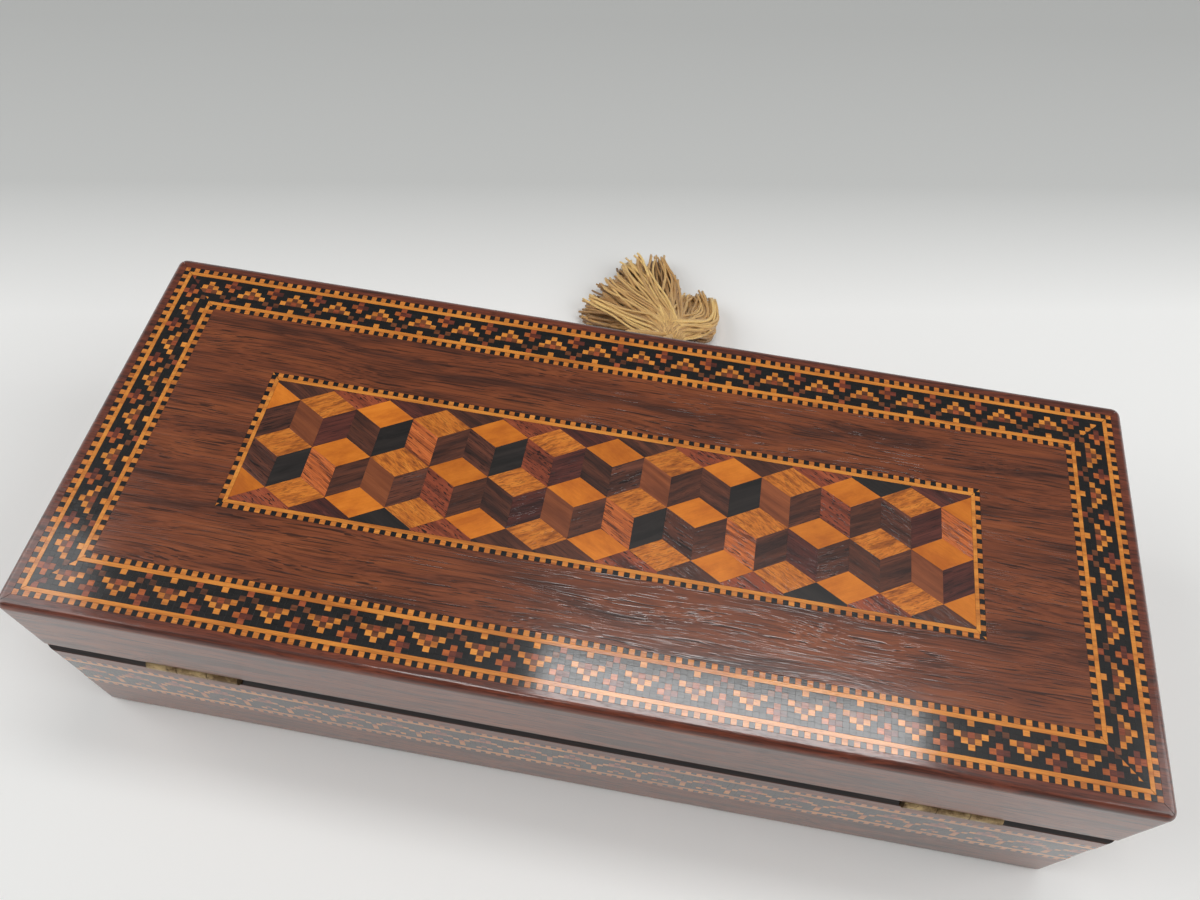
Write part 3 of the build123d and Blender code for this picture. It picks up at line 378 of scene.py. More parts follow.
def paper():
    """Dark lining paper with fibres, mottling and rubbed places."""
    shader = Shader("lining_paper")
    place = shader.object_place()
    mottle = shader.noise(place, (4,) * 3, 6.0, 0.65)
    strands = shader.noise(place, (2, 0.2, 0.2), 2.0)
    rubbed = shader.noise(place, (30,) * 3, 4.0, 0.6)
    colour = shader.ramp(mottle, (0.35, srgb(38, 36, 52)), (0.5, srgb(52, 48, 66)), (0.7, srgb(72, 66, 82)))
    shader.set(
        Base_Color=shader.blend(shader.spread(rubbed, 0.58, 0.75, 0.0, 0.6), colour, srgb(120, 110, 104)),
        Roughness=shader.spread(strands, *MOST_NOISE, 0.72, 0.9),
        Normal=shader.bump(shader.math("ADD", mottle, strands), 0.05 * MM),
    )
    return shader.material


PAPER = paper()


def gold_thread():
    """Twisted gold silk, each thread with its own tone; low tones paint shade into the hollows between
    threads and under the upper locks.
    """
    shader = Shader("gold_thread")
    tone = shader.attribute("tone")
    fibres = shader.noise(shader.object_place(), (0.25,) * 3, 3.0)
    dark, middle, light = all_srgb((126, 92, 60), (204, 158, 96), (244, 206, 130))
    colour = shader.ramp(shader.spread(tone, -1.0, 1.0), (0.0, dark), (0.5, middle), (1.0, light))
    shader.set(
        Base_Color=shader.dimmed(colour, shader.spread(fibres, *MOST_NOISE, 0.8, 1.12)),
        Roughness=0.48,
        Sheen_Weight=0.5,
        Sheen_Roughness=0.4,
        Sheen_Tint=(1.0, 0.9, 0.7, 1.0),
        Normal=shader.bump(fibres, 0.06 * MM),
    )
    return shader.material


GOLD_THREAD = gold_thread()


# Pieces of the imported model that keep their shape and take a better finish


def dress(material, *names):
    for name in names:
        slots = NODES[name].data.materials
        slots.clear()
        slots.append(material)


SIDES = ("front", "back", "left", "right")
dress(PAPER, "underside_paper")
dress(CARCASS["X"], "base_bottom_board", "lid_top_board")
for side in SIDES:
    grain = "X" if side in ("front", "back") else "Y"
    wall_wood, veneer_wood = CARCASS[grain], ROSEWOOD[grain]
    if side == "back":
        wall_wood, veneer_wood = HINGE_SIDE_CARCASS, HINGE_SIDE_ROSEWOOD
    dress(wall_wood, f"base_{side}_wall", f"lid_{side}_rim")
    dress(veneer_wood, f"base_{side}_veneer", f"lid_{side}_veneer")
dress(ROSEWOOD["X"], "lid_field_veneer")
dress(BANDING, "lid_edge_banding")
dress(LIGHT_WOOD, "lid_light_lines")
dress(BRASS, *[name for name in NODES if name.startswith(("hinge_", "link_"))], "lid_screws")
dress(BRASS, "escutcheon", "lock_case", "lock_cap_plate", "lock_bolt", "lock_screws")
dress(STEEL, "key", "lock_drill_pin", "lock_spring")


# New pieces


def closed_mesh(name, corners, faces, domain="FACE", **attributes):
    """A mesh of closed shells that face outwards, without corners that no face uses."""
    mesh = bpy.data.meshes.new(name)
    mesh.from_pydata(corners, [], faces)
    for key, values in attributes.items():
        mesh.attributes.new(key, "FLOAT", domain).data.foreach_set("value", values)
    shells = bmesh.new()
    shells.from_mesh(mesh)
    loose = [corner for corner in shells.verts if not corner.link_faces]
    bmesh.ops.delete(shells, geom=loose, context="VERTS")
    bmesh.ops.recalc_face_normals(shells, faces=shells.faces)
    shells.to_mesh(mesh)
    shells.free()
    return mesh


def tube_faces(start, sides, rings):
    """Faces of a closed tube whose rings of corners follow each other from the start."""
    faces = [tuple(start + side for side in reversed(range(sides)))]
    for ring in range(rings - 1):
        for side in range(sides):
            following = (side + 1) % sides
            steps = (side, following, sides + following, sides + side)
            faces.append(tuple(start + ring * sides + step for step in steps))
    faces.append(tuple(start + (rings - 1) * sides + side for side in range(sides)))
    return faces


def add_piece(mesh, body, slot, *replaced):
    """An object of the mesh, with its name, that rides on the body."""
    piece = bpy.data.objects.new(mesh.name, mesh)
    bpy.context.scene.collection.objects.link(piece)
    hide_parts(*replaced)
    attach(piece, body)
    return piece


# Marquetry: every tessera is its own closed prism with lightly rubbed edges

JOINT = 0.004 * MM
RUBBED_EDGE = 0.012 * MM
VENEER = 1.2 * MM
SMALLEST_TESSERA = 0.05 * MM * MM


def clip(outline, inside):
    """The part of a convex outline where the function inside(point) is above zero."""
    kept = []
    for index, point in enumerate(outline):
        following = outline[(index + 1) % len(outline)]
        here, there = inside(point), inside(following)
        if here >= 0:
            kept.append(point)
        if here * there < 0:
            share = here / (here - there)
            kept.append(tuple(a + share * (b - a) for a, b in zip(point, following)))
    return kept


def outline_area(outline):
    ends = outline[1:] + outline[:1]
    return sum(a[0] * b[1] - b[0] * a[1] for a, b in zip(outline, ends)) / 2


def drawn_in(outline, distance):
    """The outline with each corner moved towards the middle by about that distance."""
    middle = [sum(values) / len(outline) for values in zip(*outline)]
    result = []
    for point in outline:
        reach = math.hypot(point[0] - middle[0], point[1] - middle[1])
        share = max(0.2, 1 - 1.4 * distance / max(reach, distance))
        result.append(tuple(m + share * (p - m) for p, m in zip(point, middle)))
    return result


class Inlay:
    """Collects tesserae of several woods into one object."""

    def __init__(self, name, woods, seed):
        self.name = name
        self.codes = list(woods)
        self.woods = woods
        self.corners, self.faces, self.wood_of, self.tone_of, self.turn_of = [], [], [], [], []
        self.random = random.Random(seed)

    def tessera(self, outline, place, code, turn=0.0):
        """A prism over the outline; place(u, v, depth) gives a point, with depth 0 at the polished face."""
        if len(outline) < 3 or abs(outline_area(outline)) < SMALLEST_TESSERA:
            return
        rings = (
            (drawn_in(outline, JOINT), VENEER),
            (drawn_in(outline, JOINT), RUBBED_EDGE),
            (drawn_in(outline, JOINT + RUBBED_EDGE), 0.0),
        )
        faces = tube_faces(len(self.corners), len(outline), len(rings))
        for ring, depth in rings:
            self.corners.extend(place(u, v, depth) for u, v in ring)
        tone = self.random.uniform(-1, 1)
        self.faces += faces
        self.wood_of += [self.codes.index(code)] * len(faces)
        self.tone_of += [tone] * len(faces)
        self.turn_of += [turn] * len(faces)

    def make(self, body, slot, *replaced):
        mesh = closed_mesh(self.name, self.corners, self.faces, tone=self.tone_of, turn=self.turn_of)
        for code in self.codes:
            mesh.materials.append(self.woods[code])
        mesh.polygons.foreach_set("material_index", self.wood_of)
        mesh.update()
        add_piece(mesh, body, slot, *replaced)


LID_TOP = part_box("lid_field_veneer")[1].z


def on_lid(x, y, depth):
    return x, y, LID_TOP - depth


def rectangle(left, low, right, high):
    return [(left, low), (right, low), (right, high), (left, high)]


def columns_within(reach, axis, pitch):
    """Numbers of the columns that touch -reach..reach, with column 0 centred on the axis."""
    return range(math.floor((-reach - axis) / pitch), math.ceil((reach - axis) / pitch) + 1)


def side_heading(side):
    """Whether a side runs along X, and the sign of the direction that it faces."""
    return side in ("front", "back"), 1 if side in ("back", "right") else -1


def mitred_strip(inlay, side, half_sizes, width, rows, pitch, axis, code_at):
    """Rows of tesserae along one side of a mitred frame on the lid, from its outer half sizes."""
    lengthwise, sign = side_heading(side)
    reach, other = half_sizes if lengthwise else half_sizes[::-1]

    def place(u, v, depth):
        across = sign * (other - v)
        return on_lid(u, across, depth) if lengthwise else on_lid(across, u, depth)

    for row in range(rows):
        for column in columns_within(reach, axis, pitch):
            left = axis + (column - 0.5) * pitch
            outline = rectangle(left, row * width / rows, left + pitch, (row + 1) * width / rows)
            for direction in (-1, 1):
                outline = clip(outline, lambda p: reach + direction * p[0] - p[1])
            inlay.tessera(outline, place, code_at(column, row))


def alternating(column, row):
    return "C" if column % 2 else "."


def repeating(pattern):
    """The function code_at(column, row) of a pattern's rows, each one period long."""
    return lambda column, row: pattern[row][column % len(pattern[row])]


# Triangles and crosses of the lid's border, one period; the first row is the outer one
BORDER_PATTERN = ("....R...", "L..DDO..", "BL..O..L", "RBL...LB", "...B.B..", "L...R...")
BORDER_PITCH = 1.38125 * MM
BORDER_AXES = {"front": -1.92 * MM, "back": -2.77 * MM, "left": 0.0, "right": 0.0}
LID_MOSAIC = (114.7 * MM, 43.7 * MM)
LID_MOSAIC_WIDTH = 7.3 * MM
CHEQUER_CELL = 1.225 * MM
LID_CHEQUERS = (  # outer half sizes, width
    ((116.95 * MM, 45.95 * MM), 1.25 * MM),
    ((106.4 * MM, 35.4 * MM), 1.25 * MM),
    ((84.1 * MM, 18.5 * MM), 1.1 * MM),
)


border = Inlay("mosaic_border_tesserae", TESSERA_WOODS, seed=1)
rows, code_at = len(BORDER_PATTERN), repeating(BORDER_PATTERN)
for side, axis in BORDER_AXES.items():
    mitred_strip(border, side, LID_MOSAIC, LID_MOSAIC_WIDTH, rows, BORDER_PITCH, axis, code_at)
border.make("lid", "mosaic", "lid_mosaic_border")

chequers = Inlay("lid_chequer_squares", TESSERA_WOODS, seed=2)
for half_sizes, width in LID_CHEQUERS:
    for side in SIDES:
        mitred_strip(chequers, side, half_sizes, width, 1, CHEQUER_CELL, 0.0, alternating)
chequers.make("lid", "chequer", "lid_chequer_lines")


# Tumbling blocks in the middle of the lid

CUBE_COLUMNS = 12
CUBE_WIDTH = 13.675 * MM
HALF_CUBE = CUBE_WIDTH / 2
TOP_HALF_DEPTH = 3.95 * MM
CUBE_SIDE = 8.05 * MM
CUBE_PITCH = TOP_HALF_DEPTH + CUBE_SIDE
PANEL_HALF_LENGTH = CUBE_COLUMNS * CUBE_WIDTH / 2
PANEL_HALF_DEPTH = 16.45 * MM
SLANT = math.atan2(TOP_HALF_DEPTH, HALF_CUBE)

# Woods of the cubes' sides and of the edge pieces, one letter each, from +X to -X
FRONT_FACES = "SMPWKOWSKRPWSMWWKMWRWSPO"
BACK_FACES = "SKOWMSRWWPMWOKSWOWPSWWMP"
FRONT_EDGE = "WRPWRPWRWRKP"
BACK_EDGE = "RPKRWWRWRKRW"


def panel_piece(inlay, outline, code, turn):
    for direction in (-1, 1):
        outline = clip(outline, lambda p: PANEL_HALF_LENGTH + direction * p[0])
        if outline:
            outline = clip(outline, lambda p: PANEL_HALF_DEPTH + direction * p[1])
    inlay.tessera(outline, on_lid, code, turn)


def cube_middles(row):
    """Middles of the tops in a row: -1 at the front, 0 in the middle, 1 at the back."""
    shift = 0.5 if row == 0 else 0.0
    count = CUBE_COLUMNS + (0 if row == 0 else 1)
    return [(index - CUBE_COLUMNS // 2 + shift) * CUBE_WIDTH for index in range(count)]


tops = Inlay("cube_tops", CUBE_WOODS, seed=3)
for row in (-1, 0, 1):
    for index, x in enumerate(cube_middles(row)):
        y = row * CUBE_PITCH
        low, high = y - TOP_HALF_DEPTH, y + TOP_HALF_DEPTH
        diamond = [(x - HALF_CUBE, y), (x, low), (x + HALF_CUBE, y), (x, high)]
        panel_piece(tops, diamond, "TU"[index % 2], (-SLANT, SLANT)[index % 3 == 0])
tops.make("lid", "light_wood", "lid_cube_tops")

faces = {
    -1: Inlay("cube_left_faces", CUBE_WOODS, seed=4),
    1: Inlay("cube_right_faces", CUBE_WOODS, seed=5),
}
for row, codes in ((-1, FRONT_FACES), (0, BACK_FACES)):
    y = row * CUBE_PITCH
    for x in cube_middles(row):
        for turn in (-1, 1):
            middle = x + turn * HALF_CUBE / 2
            if abs(middle) > PANEL_HALF_LENGTH:
                continue
            number = round((PANEL_HALF_LENGTH - middle) / HALF_CUBE - 0.5)
            outline = [
                (x, y + TOP_HALF_DEPTH),
                (x + turn * HALF_CUBE, y),
                (x + turn * HALF_CUBE, y + CUBE_SIDE),
                (x, y + TOP_HALF_DEPTH + CUBE_SIDE),
            ]
            panel_piece(faces[turn], outline, codes[number], turn * SLANT)
faces[-1].make("lid", "mid_wood", "lid_cube_left_faces")
faces[1].make("lid", "dark_wood", "lid_cube_right_faces")

edges = Inlay("cube_edge_pieces", CUBE_WOODS, seed=6)
for turn, codes in ((-1, FRONT_EDGE), (1, BACK_EDGE)):
    for number, code in enumerate(codes):
        x = PANEL_HALF_LENGTH - (number + 0.5) * CUBE_WIDTH
        tip = turn * (CUBE_PITCH + TOP_HALF_DEPTH)
        outline = [
            (x, turn * CUBE_PITCH),
            (x + HALF_CUBE, tip),
            (x + HALF_CUBE, turn * PANEL_HALF_DEPTH),
            (x - HALF_CUBE, turn * PANEL_HALF_DEPTH),
            (x - HALF_CUBE, tip),
        ]
        panel_piece(edges, outline, code, SLANT)
edges.make("lid", "dark_wood", "lid_cube_edge_pieces")


# Mosaic band round the base, flush with the veneers and round the corners

HALF_LENGTH = 120 * MM
HALF_DEPTH = 49 * MM
CORNER_RADIUS = 2.3 * MM
CORNER_ARC = CORNER_RADIUS * math.pi / 4
BAND_STRIPS = (  # bottom, top, rows, cell length, kind
    (15.0 * MM, 16.45 * MM, 1, CHEQUER_CELL, "chequer"),
    (16.45 * MM, 17.5 * MM, 1, 40 * MM, "line"),
    (17.5 * MM, 29.5 * MM, 9, 1.31 * MM, "arches"),
    (29.5 * MM, 30.55 * MM, 1, 40 * MM, "line"),
    (30.55 * MM, 32.0 * MM, 1, CHEQUER_CELL, "chequer"),
)
# Arches, one period; the first row is the upper one
ARCH_PATTERN = (
    "........",
    "....R...",
    "...RDR..",
    "..LOROL.",
    ".L.....L",
    "O.......",
    "L...R...",
    "L..L.L..",
    "........",
)
ARCH_AXES = {"front": 0.0, "back": -28.1 * MM, "left": 0.0, "right": 0.0}
KEYHOLE_HEIGHT = 25 * MM
KEYHOLE_RADIUS = 2.9 * MM
KEYHOLE_SLOT_HALF = 1.9 * MM
KEYHOLE_BOTTOM = 19.7 * MM


def around_corner(distance, reach, face):
    """Across and outwards places at a distance along a side that ends in a rounded corner."""
    straight = reach - CORNER_RADIUS
    if abs(distance) <= straight:
        return distance, face
    angle = (abs(distance) - straight) / CORNER_RADIUS
    along_side = straight + CORNER_RADIUS * math.sin(angle)
    outwards = face - CORNER_RADIUS * (1 - math.cos(angle))
    return math.copysign(along_side, distance), outwards


def side_place(side):
    """place(u, v, depth) of a side of the base: u along it, v the height."""
    lengthwise, sign = side_heading(side)
    reach, face = (HALF_LENGTH, HALF_DEPTH) if lengthwise else (HALF_DEPTH, HALF_LENGTH)

    def place(u, v, depth):
        across, outwards = around_corner(u, reach, face)
        straight = reach - CORNER_RADIUS
        if depth and abs(u) > straight:
            round_share = (abs(u) - straight) / CORNER_ARC
            inner = math.copysign(straight + round_share * (CORNER_RADIUS - VENEER), u)
            mix = depth / VENEER
            across += mix * (inner - across)
            outwards += mix * (face - VENEER - outwards)
        elif depth:
            outwards -= depth
        return (across, sign * outwards, v) if lengthwise else (sign * outwards, across, v)

    return place, reach - CORNER_RADIUS + CORNER_ARC


def in_keyhole(point):
    x, z = point
    in_slot = abs(x) < KEYHOLE_SLOT_HALF and KEYHOLE_BOTTOM < z < KEYHOLE_HEIGHT
    return in_slot or math.hypot(x, z - KEYHOLE_HEIGHT) < KEYHOLE_RADIUS


def beside_keyhole(point):
    """The point, or the nearest one on the keyhole liner's edge if it lies inside."""
    if not in_keyhole(point):
        return point
    x, z = point
    if z > KEYHOLE_HEIGHT - math.sqrt(KEYHOLE_RADIUS**2 - KEYHOLE_SLOT_HALF**2):
        reach = max(math.hypot(x, z - KEYHOLE_HEIGHT), 0.01 * MM)
        share = KEYHOLE_RADIUS / reach
        return x * share, KEYHOLE_HEIGHT + (z - KEYHOLE_HEIGHT) * share
    if z - KEYHOLE_BOTTOM < KEYHOLE_SLOT_HALF - abs(x):
        return x, KEYHOLE_BOTTOM
    return math.copysign(KEYHOLE_SLOT_HALF, x), z


CORNER_CUTS = 4
LINE_CUTS = 6


def band_cells(reach, axis, length, kind):
    """Column number and both ends of each cell of a strip; a line is cut finely round the corners."""
    if kind == "line":
        straight = reach - CORNER_ARC
        turning = [straight + CORNER_ARC * step / CORNER_CUTS for step in range(1, CORNER_CUTS + 1)]
        inner = [straight * step / LINE_CUTS for step in range(-LINE_CUTS, LINE_CUTS + 1)]
        ends = [-end for end in reversed(turning)] + inner + turning
        return [(number, *pair) for number, pair in enumerate(zip(ends, ends[1:]))]
    cells = []
    for column in columns_within(reach, axis, length):
        left = max(axis + (column - 0.5) * length, -reach)
        right = min(axis + (column + 0.5) * length, reach)
        if right > left:
            cells.append((column, left, right))
    return cells


CODES = {"line": lambda column, row: "L", "chequer": alternating, "arches": repeating(ARCH_PATTERN)}


def side_band(inlay, side):
    place, reach = side_place(side)
    for low, high, rows, length, kind in BAND_STRIPS:
        axis = ARCH_AXES[side] if kind == "arches" else 0.0
        cells = band_cells(reach, axis, length, kind)
        height = (high - low) / rows
        for row in range(rows):
            top = high - row * height
            for column, left, right in cells:
                outline = rectangle(left, top - height, right, top)
                if side == "front" and kind == "arches":
                    if all(in_keyhole(corner) for corner in outline):
                        continue
                    outline = [beside_keyhole(corner) for corner in outline]
                inlay.tessera(outline, place, CODES[kind](column, row))


for index, side in enumerate(SIDES):
    band = Inlay(f"{side}_band_tesserae", TESSERA_WOODS, seed=10 + index)
    side_band(band, side)
    band.make("base", "mosaic", f"base_{side}_mosaic_band")


# Quilted silk over wadding, for the pads and the walls

QUILT_SPACING = 16 * MM
STITCH_WIDTH = 1.3 * MM
STITCH_DEPTH = 0.42
# Sides of a square: the neighbour that it shares with, and its two corners
SQUARE_SIDES = (((0, -1), (0, 1)), ((1, 0), (1, 2)), ((0, 1), (2, 3)), ((-1, 0), (3, 0)))


def quilted(
    name, node, width, height, thickness, place, body, rounding, step=1.5 * MM, notch=None, edge_share=0.3
):
    """A quilted panel; place(u, v, rise) puts it, with u and v from its lower left corner."""
    columns, rows = round(width / step), round(height / step)

    def open_at(u, v):
        return notch and notch[0] < u < notch[2] and notch[1] < v < notch[3]

    def seam_at(u, v):
        seam = 0.0
        for diagonal in (u + v, u - v):
            offset = (diagonal / QUILT_SPACING) % 1.0
            distance = min(offset, 1 - offset) * QUILT_SPACING
            seam = max(seam, math.exp(-((distance / STITCH_WIDTH) ** 2)))
        return seam

    def rise(u, v):
        edge = min(u, width - u, v, height - v)
        if notch:
            beside = max(notch[0] - u, u - notch[2], notch[1] - v, v - notch[3])
            edge = min(edge, max(beside, 0.0))
        share = min(edge / rounding, 1.0)
        crown = edge_share + (1 - edge_share) * math.sqrt(1 - (1 - share) ** 2)
        return thickness * (crown - STITCH_DEPTH * seam_at(u, v) * share)

    corners, faces, seams = [], [], []
    for layer in (0, 1):
        for row in range(rows + 1):
            for column in range(columns + 1):
                u, v = column * width / columns, row * height / rows
                corners.append(place(u, v, layer * rise(u, v)))
                # The seam attribute carries painted shade along the seams into the silk
                seams.append(layer * seam_at(u, v))
    layer_size = (columns + 1) * (rows + 1)
    kept = {
        (column, row)
        for row in range(rows)
        for column in range(columns)
        if not open_at((column + 0.5) * width / columns, (row + 0.5) * height / rows)
    }
    for column, row in sorted(kept):
        start = row * (columns + 1) + column
        square = (start, start + 1, start + columns + 2, start + columns + 1)
        faces.append(square[::-1])
        faces.append(tuple(index + layer_size for index in square))
        for (over, up), (one, two) in SQUARE_SIDES:
            if (column + over, row + up) not in kept:
                a, b = square[one], square[two]
                faces.append((a, b, b + layer_size, a + layer_size))
    mesh = closed_mesh(name, corners, faces, "POINT", seam=seams)
    mesh.materials.append(SILK)
    mesh.shade_smooth()
    add_piece(mesh, body, "lining_silk", node)


def flat_pad(name, node, body, upwards):
    low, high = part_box(node)
    size = [b - a for a, b in zip(low, high)]
    bottom, sign = (low.z, 1) if upwards else (high.z, -1)

    def place(u, v, rise):
        return low.x + u, low.y + v, bottom + sign * rise

    quilted(name, node, *size, place, body, rounding=3.5 * MM, edge_share=0.85)


LINING = 1.6 * MM
LOCK_NOTCH_HALF = 17.3 * MM
LOCK_NOTCH_BOTTOM = 14.0 * MM


def wall_linings(node, body):
    low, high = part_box(node)
    length, depth, height = (b - a for a, b in zip(low, high))
    notch = None
    if body == "base":
        left, right = length / 2 - LOCK_NOTCH_HALF, length / 2 + LOCK_NOTCH_HALF
        notch = (left, LOCK_NOTCH_BOTTOM - low.z, right, height + LINING)
    inner, near = depth - 2 * LINING, low.y + LINING
    walls = {
        "front": (length, lambda u, v, rise: (low.x + u, low.y + rise, low.z + v), notch),
        "back": (length, lambda u, v, rise: (low.x + u, high.y - rise, low.z + v), None),
        "left": (inner, lambda u, v, rise: (low.x + rise, near + u, low.z + v), None),
        "right": (inner, lambda u, v, rise: (high.x - rise, near + u, low.z + v), None),
    }
    for side, (width, place, opening) in walls.items():
        name = f"{body}_{side}_lining"
        quilted(name, node, width, height, LINING, place, body, 2.2 * MM, 1.2 * MM, opening)


flat_pad("floor_pad", "base_floor_pad", "base", True)
flat_pad("lid_quilt", "lid_pad", "lid", False)
wall_linings("base_wall_linings", "base")
wall_linings("lid_wall_linings", "lid")


# Cord and tassel of twisted gold thread

PLY_HOLLOW = 0.28


class Threads:
    """Collects twisted threads into one object."""

    def __init__(self, name, seed):
        self.name = name
        self.corners, self.faces, self.tones = [], [], []
        self.random = random.Random(seed)

    def add(self, points, radius, plies=2, lay=2.2 * MM, sides=8, tone=None):
        """A thread along the points, its plies twisted one turn in each lay."""
        path = np.array(points, float)
        steps = np.linalg.norm(np.diff(path, axis=0), axis=1)
        travelled = np.concatenate(([0.0], np.cumsum(steps)))
        tangents = np.gradient(path, axis=0)
        tangents /= np.linalg.norm(tangents, axis=1)[:, None]
        helper = np.array((0.0, 0.0, 1.0)) if abs(tangents[0][2]) < 0.8 else np.array((1.0, 0.0, 0.0))
        normal = np.cross(tangents[0], helper)
        faces = tube_faces(len(self.corners), sides, len(path))
        phase = self.random.uniform(0, math.tau)
        for index, (point, tangent) in enumerate(zip(path, tangents)):
            normal = normal - tangent * normal.dot(tangent)
            normal /= np.linalg.norm(normal)
            across = np.cross(tangent, normal)
            twist = phase + math.tau * travelled[index] / lay
            for side in range(sides):
                angle = math.tau * side / sides
                crest = abs(math.cos(plies * (angle - twist) / 2))
                reach = radius * (1 - PLY_HOLLOW + PLY_HOLLOW * crest)
                outwards = math.cos(angle) * normal + math.sin(angle) * across
                self.corners.append(tuple(point + reach * outwards))
        self.faces += faces
        self.tones += [self.random.uniform(-1, 1) if tone is None else tone] * len(faces)

    def make(self, *replaced):
        mesh = closed_mesh(self.name, self.corners, self.faces, tone=self.tones)
        mesh.materials.append(GOLD_THREAD)
        mesh.shade_smooth()
        return add_piece(mesh, "base", "gold_thread", *replaced)


TASSEL_NECK = Vector((-8.5, -94.0, 8.0)) * MM
TASSEL_DIRECTION = Vector((0.1, 0.72, 0.68)).normalized()
HEAD_RADIUS = 5.0 * MM
HEAD_MIDDLE = 4.6 * MM
HEAD_LENGTH = 9.0 * MM
NECK_RADIUS = 3.2 * MM
BINDING_RADIUS = 4.0 * MM
BINDING_LENGTH = 3.0 * MM
TASSEL_SIDE = TASSEL_DIRECTION.cross(Vector((0, 0, 1))).normalized()
TASSEL_UP = TASSEL_SIDE.cross(TASSEL_DIRECTION)


def around_tassel(radius, angle, height):
    """A point at a radius and angle about the tassel's axis, and a height above its neck."""
    outwards = math.cos(angle) * TASSEL_SIDE + math.sin(angle) * TASSEL_UP
    return TASSEL_NECK + TASSEL_DIRECTION * height + outwards * radius


def head_radius(height):
    """Radius of the tassel's head at a height above its neck."""
    if height < HEAD_MIDDLE:
        return NECK_RADIUS + (HEAD_RADIUS - NECK_RADIUS) * math.sin(math.pi / 2 * height / HEAD_MIDDLE)
    return math.sqrt(max(HEAD_RADIUS**2 - (height - HEAD_MIDDLE) ** 2, 0.0))


HEAD_THREADS = 34
HEAD_THREAD_RADIUS = 0.5 * MM
HEAD_STEPS = 26
HEAD_TWIST = 0.25
HEAD_END_INSET = 1.6 * MM
HEAD_END_RADIUS = 0.3 * MM
HEAD_CORE_RADIUS = 2.6 * MM

head = Threads("tassel_head_threads", seed=21)
for number in range(HEAD_THREADS):
    angle = math.tau * number / HEAD_THREADS
    points = []
    for step in range(HEAD_STEPS + 1):
        share = step / HEAD_STEPS
        height = min(1.02 * HEAD_LENGTH * share, HEAD_LENGTH)
        inset = HEAD_THREAD_RADIUS if step < HEAD_STEPS else HEAD_END_INSET
        radius = max(head_radius(height) - inset, HEAD_END_RADIUS)
        height = min(height, HEAD_LENGTH - HEAD_THREAD_RADIUS)
        points.append(around_tassel(radius, angle + HEAD_TWIST * share, height))
    head.add(points, HEAD_THREAD_RADIUS, lay=2.6 * MM)
# The core's dark tone is painted shade in the gaps between the head's threads
core = [around_tassel(0.0, 0.0, HEAD_LENGTH * (0.02 + 0.94 * step / 12)) for step in range(13)]
head.add(core, HEAD_CORE_RADIUS, plies=3, lay=9 * MM, sides=12, tone=-0.8)
head_piece = head.make("tassel_head")

BINDING_THREAD_RADIUS = 0.36 * MM
BINDING_TURNS = 5
BINDING_STEPS = 28 * BINDING_TURNS
BINDING_COIL_RADIUS = BINDING_RADIUS - BINDING_THREAD_RADIUS
binding = Threads("tassel_binding_thread", seed=22)
points = []
for step in range(BINDING_STEPS + 1):
    share = step / BINDING_STEPS
    height = -BINDING_LENGTH * share * 0.97 - BINDING_THREAD_RADIUS / 2
    points.append(around_tassel(BINDING_COIL_RADIUS, math.tau * BINDING_TURNS * share, height))
binding.add(points, BINDING_THREAD_RADIUS, lay=1.4 * MM)
# The core's dark tone is painted shade in the gaps between the binding's turns
core = [around_tassel(0.0, 0.0, -BINDING_LENGTH * step / 6) for step in range(7)]
binding.add(core, BINDING_COIL_RADIUS, plies=6, lay=30 * MM, sides=24, tone=-0.6)
binding_piece = binding.make("tassel_binding")

# How far the skirt reaches from the neck, in millimetres, by direction in degrees from +X
SKIRT_DIRECTIONS = (-170, -145, -129, -122, -111, -103, -97, -91, -84, -79, -75, -65, -45, -15)
SKIRT_REACHES = (15, 18, 20, 24, 23.3, 20.5, 19.8, 22.5, 29.5, 37, 40.8, 39.3, 35.5, 33)
FAN_LOCKS = 52
SIDE_LOCKS = 26
STRANDS_IN_LOCK = 7
STRAND_RADIUS = 0.42 * MM
STRAND_STEPS = 26
SKIRT_TOP = 9.9 * MM
GOLDEN_SHARE = 0.618
# Heights of the lowest lock in millimetres, and how much higher the uppermost one lies
LOW_HIP, HIP_RISE = 1.8, 8.4
LOW_END, END_RISE = 1.2, 5.0
HIP_SHARE = 0.62
# Directions of the locks in degrees from +X, in the fan and at its side
FAN_START, FAN_SPREAD = -103, 95
SIDE_START, SIDE_SPREAD = -102, 28
OVER_HEAD_TILTS = [math.radians(degrees) for degrees in range(-78, 43, 15)]
OVER_HEAD_LAYER = 0.4
OVER_HEAD_HALF_WIDTH = 4.2 * MM


def skirt_reach(direction):
    return float(np.interp(direction, SKIRT_DIRECTIONS, SKIRT_REACHES)) * MM


def level_place(direction, reach, height):
    """A point by its direction and distance from the neck, seen from above, and its height."""
    angle = math.radians(direction)
    x, y = TASSEL_NECK.x + reach * math.cos(angle), TASSEL_NECK.y + reach * math.sin(angle)
    return Vector((x, y, height))


def bezier(points, share):
    points = [Vector(point) for point in points]
    while len(points) > 1:
        points = [a.lerp(b, share) for a, b in zip(points, points[1:])]
    return points[0]


def over_head(around, offset):
    """Points of a thread over the tassel's head to its shoulder, and its direction there."""
    outwards = math.cos(around) * TASSEL_SIDE + math.sin(around) * TASSEL_UP
    sideways = TASSEL_DIRECTION.cross(outwards)
    radius = math.sqrt(HEAD_RADIUS**2 - offset**2) + STRAND_RADIUS
    middle = TASSEL_NECK + TASSEL_DIRECTION * HEAD_MIDDLE + sideways * offset
    points = []
    for tilt in OVER_HEAD_TILTS:
        heading = math.cos(tilt) * outwards - math.sin(tilt) * TASSEL_DIRECTION
        points.append(middle + radius * (math.cos(tilt) * TASSEL_DIRECTION + math.sin(tilt) * outwards))
    return points, heading


skirt = Threads("tassel_skirt_threads", seed=23)
draw = random.Random(24)


